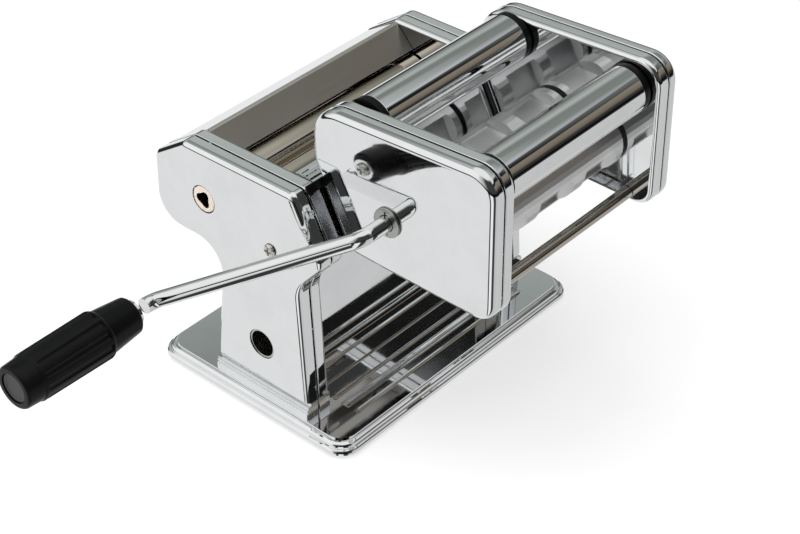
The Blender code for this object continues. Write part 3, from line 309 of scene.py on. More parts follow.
def make_satin_steel(name, tint, roughness):
    """Sheet steel brushed along X."""
    maker = finish(name, Metallic=1.0)
    grain = maker.noise(maker.place(BRUSHED_GRAIN), 1.0, 3.0)
    patches = maker.noise(maker.place((30.0, 30.0, 30.0)), 1.0, 5.0)
    rough = roughness + grain * 0.10 + patches * 0.05
    colour = maker.colours(patches, tint, dimmed(tint, 0.86))
    normal = maker.bump(grain, 0.000010, 0.5)
    return feed(maker, Base_Color=colour, Roughness=rough, Normal=normal)


def make_hopper_steel(name):
    """Sheet that is polished on its outer strips and satin on its inner slope."""
    maker = finish(name, Metallic=1.0)
    polished = maker.share(maker.along("Y"), 0.0450, 0.0460)
    grain = maker.noise(maker.place(BRUSHED_GRAIN), 1.0, 3.0)
    patches = maker.noise(maker.place((30.0, 30.0, 30.0)), 1.0, 5.0)
    satin = maker.colours(patches, (0.60, 0.565, 0.50), (0.54, 0.505, 0.445))
    colour = maker.mixed("MIX", polished, satin, (0.86, 0.87, 0.88))
    rough = (0.20 + grain * 0.10) * (1.0 - polished) + 0.03 + patches * 0.05
    normal = maker.bump(grain, 0.000002, 0.4)
    return feed(maker, Base_Color=colour, Roughness=rough, Normal=normal)


def make_plastic(name, low, high, roughness, gloss, grain_depth):
    """Moulded plastic with a fine grain and slightly worn high spots."""
    maker = finish(name, **{"Metallic": 0.0, "Specular IOR Level": gloss})
    patches = maker.noise(maker.place(), 55.0, 6.0, 0.6)
    grain = maker.noise(maker.place(), 1500.0, 2.0)
    colour = maker.colours(patches, low, high)
    rough = roughness + patches * 0.14
    normal = maker.bump(grain, grain_depth, 0.5)
    return feed(maker, Base_Color=colour, Roughness=rough, Normal=normal)


def make_cast(name, tint, roughness):
    """Satin cast aluminium with a fine speckle."""
    maker = finish(name, Metallic=1.0)
    speckle = maker.noise(maker.place(), 1800.0, 2.0)
    patches = maker.noise(maker.place(), 70.0, 5.0)
    rough = roughness + speckle * 0.08 + patches * 0.08
    colour = maker.colours(patches, tint, dimmed(tint, 0.84))
    normal = maker.bump(speckle, 0.00002, 0.5)
    return feed(maker, Base_Color=colour, Roughness=rough, Normal=normal)


MIRROR_TINT = (0.86, 0.870, 0.875)
CHROME = make_chrome("mirror_chrome", MIRROR_TINT, 0.05, 0.00016)
BASE_CHROME = make_chrome("base_chrome", MIRROR_TINT, 0.05, 0.00010, channels=0.0010)
PLATE_CHROME = make_chrome("plate_chrome", MIRROR_TINT, 0.05, 0.00010, crown=0.0008)
RAIL_CHROME = make_cast("rail_chrome", (0.60, 0.62, 0.66), 0.20)
ROD_CHROME = make_chrome("rod_chrome", (0.84, 0.85, 0.85), 0.06, 0.00002)
SOCKET_STEEL = make_cast("socket_steel", (0.58, 0.57, 0.55), 0.16)
# Painted shade: a near-black metal for the walls inside the drive bush's keyed hole
HOLE_PAINTED_SHADE = make_cast("hole_painted_shade", (0.10, 0.085, 0.07), 0.38)
ROLLER_STEEL = make_turned_steel("roller_steel", (0.56, 0.50, 0.42), 0.03, 1600.0, 0.0000005)
BAR_STEEL = make_turned_steel("bar_steel", (0.56, 0.52, 0.46), 0.12, 900.0)
SATIN_STEEL = make_satin_steel("satin_steel", (0.56, 0.53, 0.49), 0.24)
HOPPER_STEEL = make_hopper_steel("hopper_steel")
SCREW_STEEL = make_turned_steel("screw_steel", (0.74, 0.72, 0.68), 0.16, 700.0)
WASHER_STEEL = make_turned_steel("washer_steel", (0.46, 0.48, 0.45), 0.24, 700.0)
GEAR_STEEL = make_cast("gear_steel_finish", (0.40, 0.39, 0.37), 0.34)
MOULD_METAL = make_cast("mould_metal", (0.88, 0.88, 0.88), 0.33)
CREAM_PLASTIC = make_plastic(
    "cream_plastic", (0.62, 0.54, 0.46), (0.74, 0.66, 0.57), 0.36, 0.5, 0.00002
)
BLACK_PLASTIC = make_plastic(
    "glossy_black", (0.0020, 0.0020, 0.0024), (0.0045, 0.0045, 0.0050), 0.22, 0.13, 0.00001
)
GREY_PLASTIC = make_plastic(
    "dull_grey", (0.034, 0.033, 0.032), (0.052, 0.050, 0.048), 0.46, 0.4, 0.00002
)
FOOT_RUBBER = make_plastic(
    "soft_rubber", (0.016, 0.016, 0.016), (0.028, 0.028, 0.028), 0.62, 0.4, 0.00006
)
WHITE_MARK = make_plastic("dial_marks", (0.62, 0.62, 0.60), (0.70, 0.70, 0.68), 0.5, 0.5, 0.00001)


# Modelling

ALONG_X = Matrix.Rotation(pi / 2, 4, "Y")


def settled(piece):
    """The piece with its modifiers worked into its mesh."""
    bpy.context.view_layer.update()
    graph = bpy.context.evaluated_depsgraph_get()
    mesh = bpy.data.meshes.new_from_object(piece.evaluated_get(graph))
    piece.modifiers.clear()
    piece.data = mesh
    return piece


def clothe(piece, material, body, nodes=(), sharp=32, even=True):
    mesh = piece.data
    mesh.materials.clear()
    mesh.materials.append(material)
    mesh.shade_smooth()
    mesh.set_sharp_from_angle(angle=radians(sharp))
    if even:
        normals = piece.modifiers.new("even_light", "WEIGHTED_NORMAL")
        normals.keep_sharp = True
    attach(piece, body)
    if nodes:
        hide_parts(*nodes)
    return piece


def bare(name, bm):
    """A plain object, before it gets its modifiers and dress."""
    mesh = bpy.data.meshes.new(name)
    bm.to_mesh(mesh)
    bm.free()
    piece = bpy.data.objects.new(name, mesh)
    bpy.context.scene.collection.objects.link(piece)
    return piece


def solid_sheet(piece, thickness, offset=-1):
    shell = piece.modifiers.new("sheet", "SOLIDIFY")
    shell.thickness = thickness
    shell.offset = offset
    shell.use_even_offset = True


def soft_edges(piece, width, segments=2, angle=35):
    edge = piece.modifiers.new("soft_edges", "BEVEL")
    edge.width = width
    edge.segments = segments
    edge.limit_method = "ANGLE"
    edge.angle_limit = radians(angle)
    edge.harden_normals = False


def take_out(piece, cutters):
    """Cuts the cutters' meshes out of the piece and removes them."""
    tools = []
    for number, cutter in enumerate(cutters):
        tool = bare(f"{piece.name}_cutter_{number}", cutter)
        tools.append(tool)
        hole = piece.modifiers.new(f"hole_{number}", "BOOLEAN")
        hole.operation = "DIFFERENCE"
        hole.object = tool
    settled(piece)
    for tool in tools:
        bpy.data.objects.remove(tool, do_unlink=True)
    return piece


def round_cutter(place, radius, low, high, segments=64):
    bm = bmesh.new()
    turn = Matrix.Translation(((low + high) / 2, *place)) @ ALONG_X
    fields = {"segments": segments, "radius1": radius, "radius2": radius, "depth": high - low}
    bmesh.ops.create_cone(bm, cap_ends=True, matrix=turn, **fields)
    return bm


def block_cutter(low, high):
    bm = bmesh.new()
    size = Vector(high) - Vector(low)
    middle = (Vector(high) + Vector(low)) / 2
    bmesh.ops.create_cube(
        bm, size=1.0, matrix=Matrix.Translation(middle) @ Matrix.Diagonal((*size, 1.0))
    )
    return bm


def span(side, a, b):
    return sorted((side * a, side * b))


def only_verts(found):
    return [v for v in found if isinstance(v, bmesh.types.BMVert)]


def only_faces(found):
    return [f for f in found if isinstance(f, bmesh.types.BMFace)]


def outward(bm):
    bmesh.ops.recalc_face_normals(bm, faces=bm.faces)


def bevelled(bm, geom, offset, segments, affect="EDGES"):
    fields = {"offset_type": "OFFSET", "segments": segments, "profile": 0.5, "material": -1}
    bmesh.ops.bevel(bm, geom=geom, offset=offset, affect=affect, **fields)


def rounded_face(bm, points, radii, step=7.0):
    """One flat face whose corners are rounded to their radii."""
    verts = [bm.verts.new(p) for p in points]
    bm.faces.new(verts)
    jobs = []
    for k, vert in enumerate(verts):
        before = verts[k - 1].co - vert.co
        after = verts[(k + 1) % len(verts)].co - vert.co
        turn = pi - before.angle(after)
        jobs.append((vert, radii[k] * tan(turn / 2), max(2, round(turn / radians(step)))))
    for vert, reach, segments in jobs:
        if reach > 0:
            bevelled(bm, [vert], reach, segments, "VERTICES")


def grow(bm, faces, shift):
    """Extrudes faces by a shift and returns the new ones."""
    grown = bmesh.ops.extrude_face_region(bm, geom=faces)["geom"]
    bmesh.ops.translate(bm, vec=shift, verts=only_verts(grown))
    return only_faces(grown)


def pressed_pan(name, corners, face_x, rim_x, edge, holes=(), segments=8):
    """A pressed sheet pan: flat face, rolled edge and a wall that stops at rim_x."""
    bm = bmesh.new()
    rounded_face(bm, [(face_x, y, z) for y, z, _ in corners], [r for _, _, r in corners])
    cap = grow(bm, bm.faces[:], (rim_x - face_x, 0, 0))
    outward(bm)
    bmesh.ops.delete(bm, geom=cap, context="FACES_ONLY")
    rim = [e for e in bm.edges if all(abs(v.co.x - face_x) < 1e-7 for v in e.verts)]
    bevelled(bm, rim, edge, segments)
    piece = bare(name, bm)
    solid_sheet(piece, SHEET)
    soft_edges(piece, 0.00055, 4, 60)
    return take_out(piece, holes)


def folded_sheet(name, corners, half, thickness, facing, offset=-1, step=7.0):
    """A sheet folded along X at (y, z, bend radius) corners; its first strip looks to facing."""
    bm = bmesh.new()
    line = [bm.verts.new((-half, y, z)) for y, z, _ in corners]
    edges = [bm.edges.new(pair) for pair in zip(line, line[1:])]
    grown = bmesh.ops.extrude_edge_only(bm, edges=edges)["geom"]
    bmesh.ops.translate(bm, vec=(2 * half, 0, 0), verts=only_verts(grown))
    outward(bm)
    first = min(
        bm.faces, key=lambda f: (f.calc_center_median() - Vector((0, *corners[0][:2]))).length
    )
    if first.normal.dot(Vector((0, *facing))) < 0:
        bmesh.ops.reverse_faces(bm, faces=bm.faces)
    jobs = []
    for (y, z, radius), vert, k in zip(corners, line, range(len(line))):
        if radius == 0 or k in (0, len(line) - 1):
            continue
        fold = [e for e in vert.link_edges if len(e.link_faces) == 2]
        turn = pi - (line[k - 1].co - vert.co).angle(line[k + 1].co - vert.co)
        jobs.append((fold, radius * tan(turn / 2), max(2, round(turn / radians(step)))))
    for fold, reach, segments in jobs:
        bevelled(bm, fold, reach, segments)
    piece = bare(name, bm)
    solid_sheet(piece, thickness, offset)
    return settled(piece)


def bent_blade(name, place, lean, radius, slant, steps, half, thickness):
    """A bent blade whose edge stands just off a roller, slant degrees below its axis."""
    reach = radius + ROLLER_GAP
    y = place[0] + lean * reach * cos(radians(slant))
    z = place[1] - reach * sin(radians(slant))
    (bend, fall), (end, drop) = steps
    corners = [(y, z, 0.0), (y - lean * bend, z - fall, 0.0010), (y - lean * end, z - drop, 0.0)]
    return folded_sheet(name, corners, half, thickness, (lean, 0), offset=0)


def turned(name, outer, place, bore=0.0, steps=96, soft=0.0):
    """A piece turned about an axis along X: outer is (x, radius) from one end to the other."""
    y, z = place
    profile = list(outer)
    if bore:
        profile += [(outer[-1][0], bore), (outer[0][0], bore)]
    else:
        profile = [(outer[0][0], 0.0), *profile, (outer[-1][0], 0.0)]
    bm = bmesh.new()
    line = [bm.verts.new((x, y + radius, z)) for x, radius in profile]
    edges = [bm.edges.new(pair) for pair in zip(line, line[1:])]
    if bore:
        edges.append(bm.edges.new((line[-1], line[0])))
    around = {"cent": (0, y, z), "axis": (1, 0, 0), "angle": 2 * pi}
    bmesh.ops.spin(bm, geom=line + edges, steps=steps, use_merge=True, **around)
    bmesh.ops.remove_doubles(bm, verts=bm.verts, dist=1e-6)
    outward(bm)
    piece = bare(name, bm)
    if soft:
        soft_edges(piece, soft)
        settled(piece)
    return piece


def bar_of(name, outline, low, high, soft=0.0, axis="X"):
    """A straight bar whose end is the outline of (u, v) points, square to the axis."""
    bm = bmesh.new()
    if axis == "X":
        points = [(low, u, v) for u, v in outline]
        shift = (high - low, 0, 0)
    else:
        points = [(u, low, v) for u, v in outline]
        shift = (0, high - low, 0)
    bm.faces.new([bm.verts.new(p) for p in points])
    grow(bm, bm.faces[:], shift)
    outward(bm)
    piece = bare(name, bm)
    if soft:
        soft_edges(piece, soft, 3)
        settled(piece)
    return piece


# Base, feet and risers


def make_base():
    low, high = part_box("base_plate")
    steps = [
        (0.0, 0.0), (0.0, 0.0012), (0.0002, 0.0019), (0.0006, 0.0025), (0.0012, 0.0029),
        (0.0018, 0.0030), (0.0020, 0.0032), (0.0021, 0.0040), (0.0023, 0.0047),
        (0.0028, 0.0054), (0.0035, 0.0059), (0.0044, 0.0061), (0.0053, 0.0059),
        (0.0059, 0.0055), (0.0063, 0.0049), (0.0068, 0.0047), (0.0074, 0.0050),
        (0.0082, 0.0054), (0.0088, 0.0054),
    ]
    bm = bmesh.new()
    corners = [(low.x, low.y), (high.x, low.y), (high.x, high.y), (low.x, high.y)]
    rounded_face(bm, [(x, y, low.z) for x, y in corners], [0.0120] * 4)
    top = bm.faces[:]
    for (inset, height), (inset_after, height_after) in zip(steps, steps[1:]):
        top = grow(bm, top, (0, 0, height_after - height))
        if inset_after > inset:
            middle = Vector(((low.x + high.x) / 2, (low.y + high.y) / 2, 0))
            narrow = inset_after - inset
            for face in top:
                for vert in face.verts:
                    reach = vert.co - middle
                    scale_x = (high.x - low.x) / 2 - inset
                    scale_y = (high.y - low.y) / 2 - inset
                    vert.co.x -= narrow * reach.x / scale_x
                    vert.co.y -= narrow * reach.y / scale_y
    outward(bm)
    bottom = [f for f in bm.faces if all(abs(v.co.z - low.z) < 1e-7 for v in f.verts)]
    bmesh.ops.delete(bm, geom=bottom, context="FACES_ONLY")
    piece = bare("base", bm)
    solid_sheet(piece, SHEET)
    settled(piece)
    clothe(piece, BASE_CHROME, "machine", ["base_plate"], sharp=50)
    for _, word in SIDES:
        for where in ("front", "back"):
            node = f"rubber_foot_{where}_{word}"
            foot_low, foot_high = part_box(node)
            bm = bmesh.new()
            middle = (foot_low + foot_high) / 2
            radius = (foot_high.x - foot_low.x) / 2
            height = foot_high.z - foot_low.z
            bmesh.ops.create_cone(
                bm,
                cap_ends=True,
                segments=48,
                radius1=radius - 0.0006,
                radius2=radius,
                depth=height,
                matrix=Matrix.Translation(middle),
            )
            foot = bare(node + "_pad", bm)
            soft_edges(foot, 0.0005)
            settled(foot)
            clothe(foot, FOOT_RUBBER, "machine", [node])


def make_risers():
    low = BASE_TOP_Z
    height = 0.0096
    for side, word in SIDES:
        ridges = [
            (0.0, 0.00), (0.0, 0.42), (0.0014, 0.46), (0.0014, 0.51), (0.0003, 0.55),
            (0.0003, 0.65), (0.0018, 0.69), (0.0018, 0.74), (0.0008, 0.77), (0.0008, 0.82),
            (0.0036, 0.85), (0.0036, 1.00),
        ]
        steps = [(FRAME_FACE, low)]
        steps += [(COVER_FACE - inset, low + share * height) for inset, share in ridges]
        steps.append((FRAME_FACE, low + height))
        riser = bar_of(
            f"{word}_stepped_riser",
            [(side * x, z) for x, z in steps],
            FRONT_Y,
            BACK_FOOT_Y,
            soft=0.00025,
            axis="Y",
        )
        groove_low, groove_high = span(side, FRAME_RIM, COVER_RIM + 0.0004)
        take_out(
            riser,
            [
                block_cutter(
                    (groove_low, FRONT_Y - 0.001, 0.0), (groove_high, FRONT_Y + 0.0012, 0.03)
                ),
            ],
        )
        clothe(riser, CHROME, "machine", [f"{word}_riser"])


# Side boxes


def make_side_boxes():
    for side, word in SIDES:
        low, high = span(side, 0.05, 0.12)
        screw_hole = round_cutter(SCREW_PLACE, SCREW_HOLE, low, high, 24)
        if side == NEAR:
            holes = [
                round_cutter(DRIVE_PLACE, 0.0085, low, high),
                round_cutter(SOCKET_PLACE, SOCKET_HOLE, low, high),
                screw_hole,
            ]
        else:
            holes = [round_cutter(KNOB_PLACE, KNOB_HOLE, low, high), screw_hole]
        cover = pressed_pan(
            f"{word}_outer_cover", BOX_CORNERS, side * COVER_FACE, side * COVER_RIM, COVER_EDGE,
            holes,
        )
        clothe(cover, CHROME, "machine", [f"{word}_cover"])

        frame_low, frame_high = span(side, FRAME_FACE - 0.002, FRAME_FACE + 0.004)
        slot_half = 0.0083
        holes = [
            round_cutter(DRIVE_PLACE, 0.0083, frame_low, frame_high),
            block_cutter(
                (frame_low, FRONT_ROLLER_Y - slot_half - 0.0016, ROLLER_Z - slot_half),
                (frame_high, FRONT_ROLLER_Y + slot_half + 0.0006, ROLLER_Z + slot_half),
            ),
            round_cutter(SCREW_PLACE, SCREW_HOLE, low, high, 24),
        ]
        if side == NEAR:
            holes.append(round_cutter(SOCKET_PLACE, SOCKET_HOLE, low, high))
        plate = pressed_pan(
            f"{word}_inner_frame", BOX_CORNERS, side * FRAME_FACE, side * FRAME_RIM, FRAME_EDGE,
            holes, 6,
        )
        clothe(plate, CHROME, "machine", [f"{word}_frame_plate"])


def cross_head(side, tip, place, radius, depth):
    """The two blocks that cut a cross recess into a screw head whose face is at x = tip."""
    low, high = sorted((tip + side * 0.001, tip - side * depth))
    y, z = place
    wide = 0.62 * radius
    thin = 0.17 * radius
    arms = ((wide, thin), (thin, wide))
    return [block_cutter((low, y - a, z - b), (high, y + a, z + b)) for a, b in arms]


def make_fasteners():
    for side, word in SIDES:
        head = COVER_FACE + 0.0003
        tip = head + 0.0016
        outer = [
            (side * tip, 0.0022), (side * (tip - 0.0002), 0.0030),
            (side * (head + 0.0008), 0.0038), (side * (head + 0.0003), HEAD_RADIUS),
            (side * head, HEAD_RADIUS), (side * head, 0.0022),
            (side * (FRAME_FACE + SHEET), 0.0022),
        ]
        screw = turned(f"{word}_cover_screw_head", outer, SCREW_PLACE, steps=48)
        take_out(screw, cross_head(side, side * tip, SCREW_PLACE, HEAD_RADIUS, 0.0013))
        clothe(screw, SCREW_STEEL, "machine", [f"{word}_cover_screw"])
    for label, place in (("front", SCREW_PLACE), ("back", (0.0560, 0.1120))):
        tie = turned(
            f"{label}_tie", [(-INNER_HALF, TIE_RADIUS), (INNER_HALF, TIE_RADIUS)], place, steps=40,
            soft=0.0003,
        )
        clothe(tie, BAR_STEEL, "machine", [f"{label}_tie_rod"])
    sleeve = turned("clamp_sleeve", [(-0.0941, 0.0090), (-0.0641, 0.0090)], SOCKET_PLACE, steps=80)
    take_out(sleeve, [round_cutter(SOCKET_PLACE, 0.0080, -0.105, -0.0651, 80)])
    clothe(sleeve, SOCKET_STEEL, "machine", ["clamp_socket"])


# Sheets, scrapers and rails


def make_sheets():
    low = BASE_TOP_Z
    panel = folded_sheet(
        "folded_front_panel",
        [
            (-0.0335, low + SHEET, 0.0), (-0.0275, low + SHEET, 0.0018),
            (-0.0275, 0.0980, 0.0060), (-0.0485, 0.1175, 0.0),
        ],
        INNER_HALF,
        SHEET,
        (0, 1),
        offset=-1,
    )
    clothe(panel, CHROME, "machine", ["front_panel"])

    lip_z = ROLLER_Z + ROLLER_RADIUS + ROLLER_GAP
    foot = on_slope((SLOPE_TOP.y - NOSE_Z) / -DOWN_SLOPE.y - 0.002, -0.0012)
    top = on_slope(0.0010, -0.0012)
    ridges = []
    for k in range(3):
        y = top.x + 0.0035 + k * (HOPPER_STRIP - 0.0050) / 3
        ridges += [
            (y, top.y, 0.0004), (y + 0.0008, top.y + STRIP_RIDGE, 0.0004),
            (y + 0.0020, top.y + STRIP_RIDGE, 0.0004), (y + 0.0028, top.y, 0.0004),
        ]
    hopper_front = folded_sheet(
        "ridged_hopper_front",
        [
            (foot.x, foot.y, 0.0), (top.x, top.y, 0.0015), *ridges, (-0.0195, top.y, 0.0010),
            (0.0053, lip_z + 0.0008, 0.0),
        ],
        INNER_HALF,
        0.0008,
        tuple(OUT_OF_SLOPE),
    )
    clothe(hopper_front, CHROME, "machine", ["front_hopper_sheet"])
    hopper_rear = folded_sheet(
        "folded_hopper_rear",
        [
            (0.0320, lip_z + 0.00194, 0.0), (0.0452, 0.1552, 0.0022), (0.0705, 0.1386, 0.0030),
            (0.0707, 0.0970, 0.0160), (0.0465, 0.0970, 0.0),
        ],
        INNER_HALF,
        SHEET,
        (-1, 1),
    )
    clothe(hopper_rear, HOPPER_STEEL, "machine", ["rear_hopper_sheet"])
    for label, y, lean in (("rear", REAR_ROLLER_Y, -1), ("front", FRONT_ROLLER_Y, 1)):
        steps = ((0.0010, 0.0100), (0.0070, 0.0120))
        scraper = bent_blade(
            f"{label}_scraper_blade", (y, ROLLER_Z), lean, ROLLER_RADIUS, 52, steps, INNER_HALF,
            0.0008,
        )
        clothe(scraper, SATIN_STEEL, "machine", [f"{label}_scraper"])


def make_rails():
    for side, word in SIDES:
        low, high = span(side, 0.0769, 0.0843)
        bm = bmesh.new()
        corners = [(low, 0.0042), (high, 0.0042), (high, 0.0372), (low, 0.0372)]
        points = [Vector((x, *on_slope(down, 0.0003))) for x, down in corners]
        rounded_face(bm, points, [0.0031, 0.0031, 0.0, 0.0], 9.0)
        lift = OUT_OF_SLOPE * 0.0010
        grow(bm, bm.faces[:], (0, lift.x, lift.y))
        outward(bm)
        rail = bare(f"{word}_slope_rail", bm)
        soft_edges(rail, 0.0003)
        settled(rail)
        clothe(rail, RAIL_CHROME, "machine", [f"{word}_guide_rail"])
        foot = 0.0039
        outline = [
            on_slope(foot - 0.0050, 0.0003), on_slope(foot - 0.0050, 0.0020),
            on_slope(foot, 0.0020), on_slope(foot, 0.0003),
        ]
        shoe_low, shoe_high = span(side, 0.0629, 0.0849)
        shoe = bar_of(f"{word}_shoe", outline, shoe_low, shoe_high, soft=0.0004)
        clothe(shoe, BLACK_PLASTIC, "attachment", [f"{word}_rail_shoe"])


# Smooth rollers and knob


def make_rollers():
    half = 0.0753
    for label, y, body in (
        ("rear", REAR_ROLLER_Y, "rear_roller"), ("front", FRONT_ROLLER_Y, "front_roller")
    ):
        outer = [
            (0.0818, 0.0050), (half, 0.0050), (half, ROLLER_RADIUS), (-half, ROLLER_RADIUS),
            (-half, 0.0050), (-0.0881, 0.0050),
        ]
        roller = turned(f"{label}_polished_roller", outer, (y, ROLLER_Z), steps=128, soft=0.0004)
        if label == "rear":
            take_out(roller, [round_cutter(DRIVE_PLACE, 0.0042, -0.0890, -0.0790, 48)])
        clothe(roller, ROLLER_STEEL, body, [f"{label}_smooth_roller"])
    bush = turned(
        "keyed_bush",
        [(-0.0884, 0.0079), (-0.0941, 0.0079), (-0.0945, 0.0077), (-0.0947, 0.0073)],
        DRIVE_PLACE,
        steps=96,
    )
    lobes = bmesh.new()
    y, z = DRIVE_PLACE
    ring = bmesh.ops.create_circle(
        lobes,
        cap_ends=True,
        segments=96,
        radius=KEYWAY_RADIUS,
        matrix=Matrix.Translation((-0.0967, y, z)) @ ALONG_X,
    )
    for vert in ring["verts"]:
        arm = Vector((0, vert.co.y - y, vert.co.z - z))
        angle = Vector((1, 0)).angle_signed(Vector((arm.y, arm.z)))
        grown = arm.normalized() * (KEYWAY_RADIUS + 0.0008 * cos(3 * angle))
        vert.co.y = y + grown.y
        vert.co.z = z + grown.z
    grow(lobes, lobes.faces[:], (0.0100, 0, 0))
    outward(lobes)
    take_out(bush, [lobes])
    soft_edges(bush, 0.0002, 2, 50)
    settled(bush)
    clothe(bush, CREAM_PLASTIC, "rear_roller", ["drive_bush"])
    # The walls inside the keyed hole take the painted shade, a near-black metal
    bush.data.materials.append(HOLE_PAINTED_SHADE)
    for face in bush.data.polygons:
        arm = (face.center.yz - Vector(DRIVE_PLACE)).length
        if arm < 0.0057 and face.center.x > -0.0945:
            face.material_index = 1


def make_knob():
    y, z = KNOB_PLACE
    dial = turned(
        "numbered_dial", [(0.0965, DIAL_RADIUS), (0.0950, DIAL_RADIUS)], KNOB_PLACE, bore=0.0051,
        soft=0.0003,
    )
    clothe(dial, GREY_PLASTIC, "machine", ["knob_dial"])
    marks = bmesh.new()
    for k in range(10):
        turn = radians(36 * k)
        spoke = Matrix.Translation((0.0966, y, z)) @ Matrix.Rotation(turn, 4, "X")
        bar = spoke @ Matrix.Translation((0, 0, 0.0175)) @ Matrix.Diagonal(
            (0.0002, 0.0004, 0.0018, 1.0)
        )
        bmesh.ops.create_cube(marks, size=1.0, matrix=bar)
        lettering = bpy.data.curves.new("dial_number", "FONT")
        lettering.body = str(k)
        lettering.align_x = "CENTER"
        lettering.size = 0.0026
        lettering.extrude = 0.0001
        lettering.resolution_u = 3
        holder = bpy.data.objects.new("dial_number", lettering)
        bpy.context.scene.collection.objects.link(holder)
        bpy.context.view_layer.update()
        flat = bpy.data.meshes.new_from_object(
            holder.evaluated_get(bpy.context.evaluated_depsgraph_get())
        )
        bpy.data.objects.remove(holder, do_unlink=True)
        stand = Matrix.Rotation(pi / 2, 4, "Z") @ Matrix.Rotation(pi / 2, 4, "X")
        between_ticks = spoke @ Matrix.Rotation(radians(18), 4, "X")
        flat.transform(between_ticks @ Matrix.Translation((0, 0, 0.0166)) @ stand)
        marks.from_mesh(flat)
    marks_piece = bare("dial_marking", marks)
    clothe(marks_piece, WHITE_MARK, "machine", even=False)
    knob = turned(
        "ribbed_knob",
        [(0.1158, 0.0130), (0.1140, 0.0154), (0.1008, KNOB_RADIUS), (0.0968, KNOB_RADIUS)],
        KNOB_PLACE,
        steps=120,
        soft=0.0005,
    )
    cutters = [
        round_cutter(KNOB_PLACE, KNOB_HOLE, 0.0958, 0.1104),
        round_cutter(KNOB_PLACE, 0.0098, 0.1150, 0.1170),
    ]
    for k in range(KNOB_RIBS):
        turn = 2 * pi * k / KNOB_RIBS
        place = (y + 0.0171 * cos(turn), z + 0.0171 * sin(turn))
        cutters.append(round_cutter(place, 0.0018, 0.1012, 0.1200, 20))
    take_out(knob, cutters)
    clothe(knob, BLACK_PLASTIC, "knob", ["thickness_knob"])


# Attachment


def plate_corners():
    standoff = 0.0024
    knee = on_slope((SLOPE_TOP.y - 0.1690) / -DOWN_SLOPE.y, standoff)
    heel = on_slope(
        (SLOPE_TOP.y - PLATE_FOOT_Z + standoff * OUT_OF_SLOPE.y) / -DOWN_SLOPE.y, standoff
    )
    return [
        (PLATE_FRONT_Y, PLATE_FOOT_Z, 0.0120), (heel.x, PLATE_FOOT_Z, 0.0080),
        (knee.x, knee.y, 0.0150), (-0.0310, 0.2032, 0.0200), (PLATE_FRONT_Y, 0.21147, 0.0150),
    ]


def make_attachment():
    corners = plate_corners()
    for side, word in SIDES:
        holes = []
        if side == NEAR:
            holes = [round_cutter(MOULD_PLACES["rear"], MOULD_HOLE, -0.09, -0.07)]
        plate = pressed_pan(
            f"{word}_polished_plate", corners, side * PLATE_FACE, side * PLATE_RIM, PLATE_EDGE,
            holes, 10,
        )
        clothe(plate, PLATE_CHROME, "attachment", [f"{word}_attachment_plate"])
        low, high = span(side, INNER_FACE - 0.002, INNER_FACE + 0.004)
        holes = [round_cutter(place, MOULD_HOLE, low, high) for place in MOULD_PLACES.values()]
        holes += [round_cutter(place, GUIDE_HOLE, low, high, 32) for place in GUIDE_PLACES.values()]
        inner = pressed_pan(
            f"{word}_inner_pan", corners, side * INNER_FACE, side * INNER_RIM, FRAME_EDGE, holes, 6
        )
        clothe(inner, CHROME, "attachment", [f"{word}_attachment_inner_plate"])
    for label, place in BAR_PLACES.items():
        bar = turned(
            f"{label}_bar", [(-ATTACHMENT_HALF, 0.0036), (ATTACHMENT_HALF, 0.0036)], place,
            steps=56, soft=0.0003,
        )
        clothe(bar, BAR_STEEL, "attachment", [f"{label}_cross_bar"])
    for label, lean in (("rear", -1), ("front", 1)):
        steps = ((0.0015, 0.0090), (0.0100, 0.0110))
        stripper = bent_blade(
            f"{label}_stripper_blade", MOULD_PLACES[label], lean, MOULD_RADIUS, 50, steps,
            ATTACHMENT_HALF, SHEET,
        )
        clothe(stripper, SATIN_STEEL, "attachment", [f"{label}_stripper"])


def make_guides():
    for label, place in GUIDE_PLACES.items():
        body = f"{label}_guide"
        tube = turned(
            f"{label}_guide_sleeve", [(-0.0536, GUIDE_RADIUS), (0.0536, GUIDE_RADIUS)], place,
            bore=0.0125, steps=112, soft=0.0003,
        )
        clothe(tube, ROD_CHROME, body, [f"{label}_guide_tube"])
        end = [
            (0.0631, 0.0030), (0.0579, 0.0030), (0.0579, 0.0140), (0.0539, 0.0140),
            (0.0539, 0.0122), (0.0489, 0.0122), (0.0489, 0.0045),
        ]
        profile = end + [(-x, r) for x, r in end[::-1]]
        spool = turned(f"{label}_guide_core", profile, place, steps=80, soft=0.0002)
        clothe(spool, BLACK_PLASTIC, body, [f"{label}_guide_spool"])


def make_hub():
    hub = turned(
        "notched_hub",
        [(-0.0761, 0.0085), (-0.0769, 0.0085), (-0.0773, 0.0083), (-0.0775, 0.0077)],
        MOULD_PLACES["rear"],
        bore=0.0048,
        steps=96,
    )
    y, z = MOULD_PLACES["rear"]
    notches = [block_cutter((-0.0785, y - 0.0012, z + 0.0040), (-0.0768, y + 0.0012, z + 0.0068)),
               block_cutter((-0.0785, y - 0.0012, z - 0.0068), (-0.0768, y + 0.0012, z - 0.0040))]
    take_out(hub, notches)
    clothe(hub, WASHER_STEEL, "rear_mould", ["crank_hub_washer"])


# Crank


ROD_RADIUS = 0.0045
BEND_RADIUS = 0.0090
REST_ANGLE = radians(-30.0)
ARM = 0.1146
SCREW_LEAN = radians(131.7)
EYE_RADIUS = 0.0070
EYE_THICKNESS = 0.0024
GRIP_SCREW_HOLE = 0.0031
GRIP_FLUTES = 12


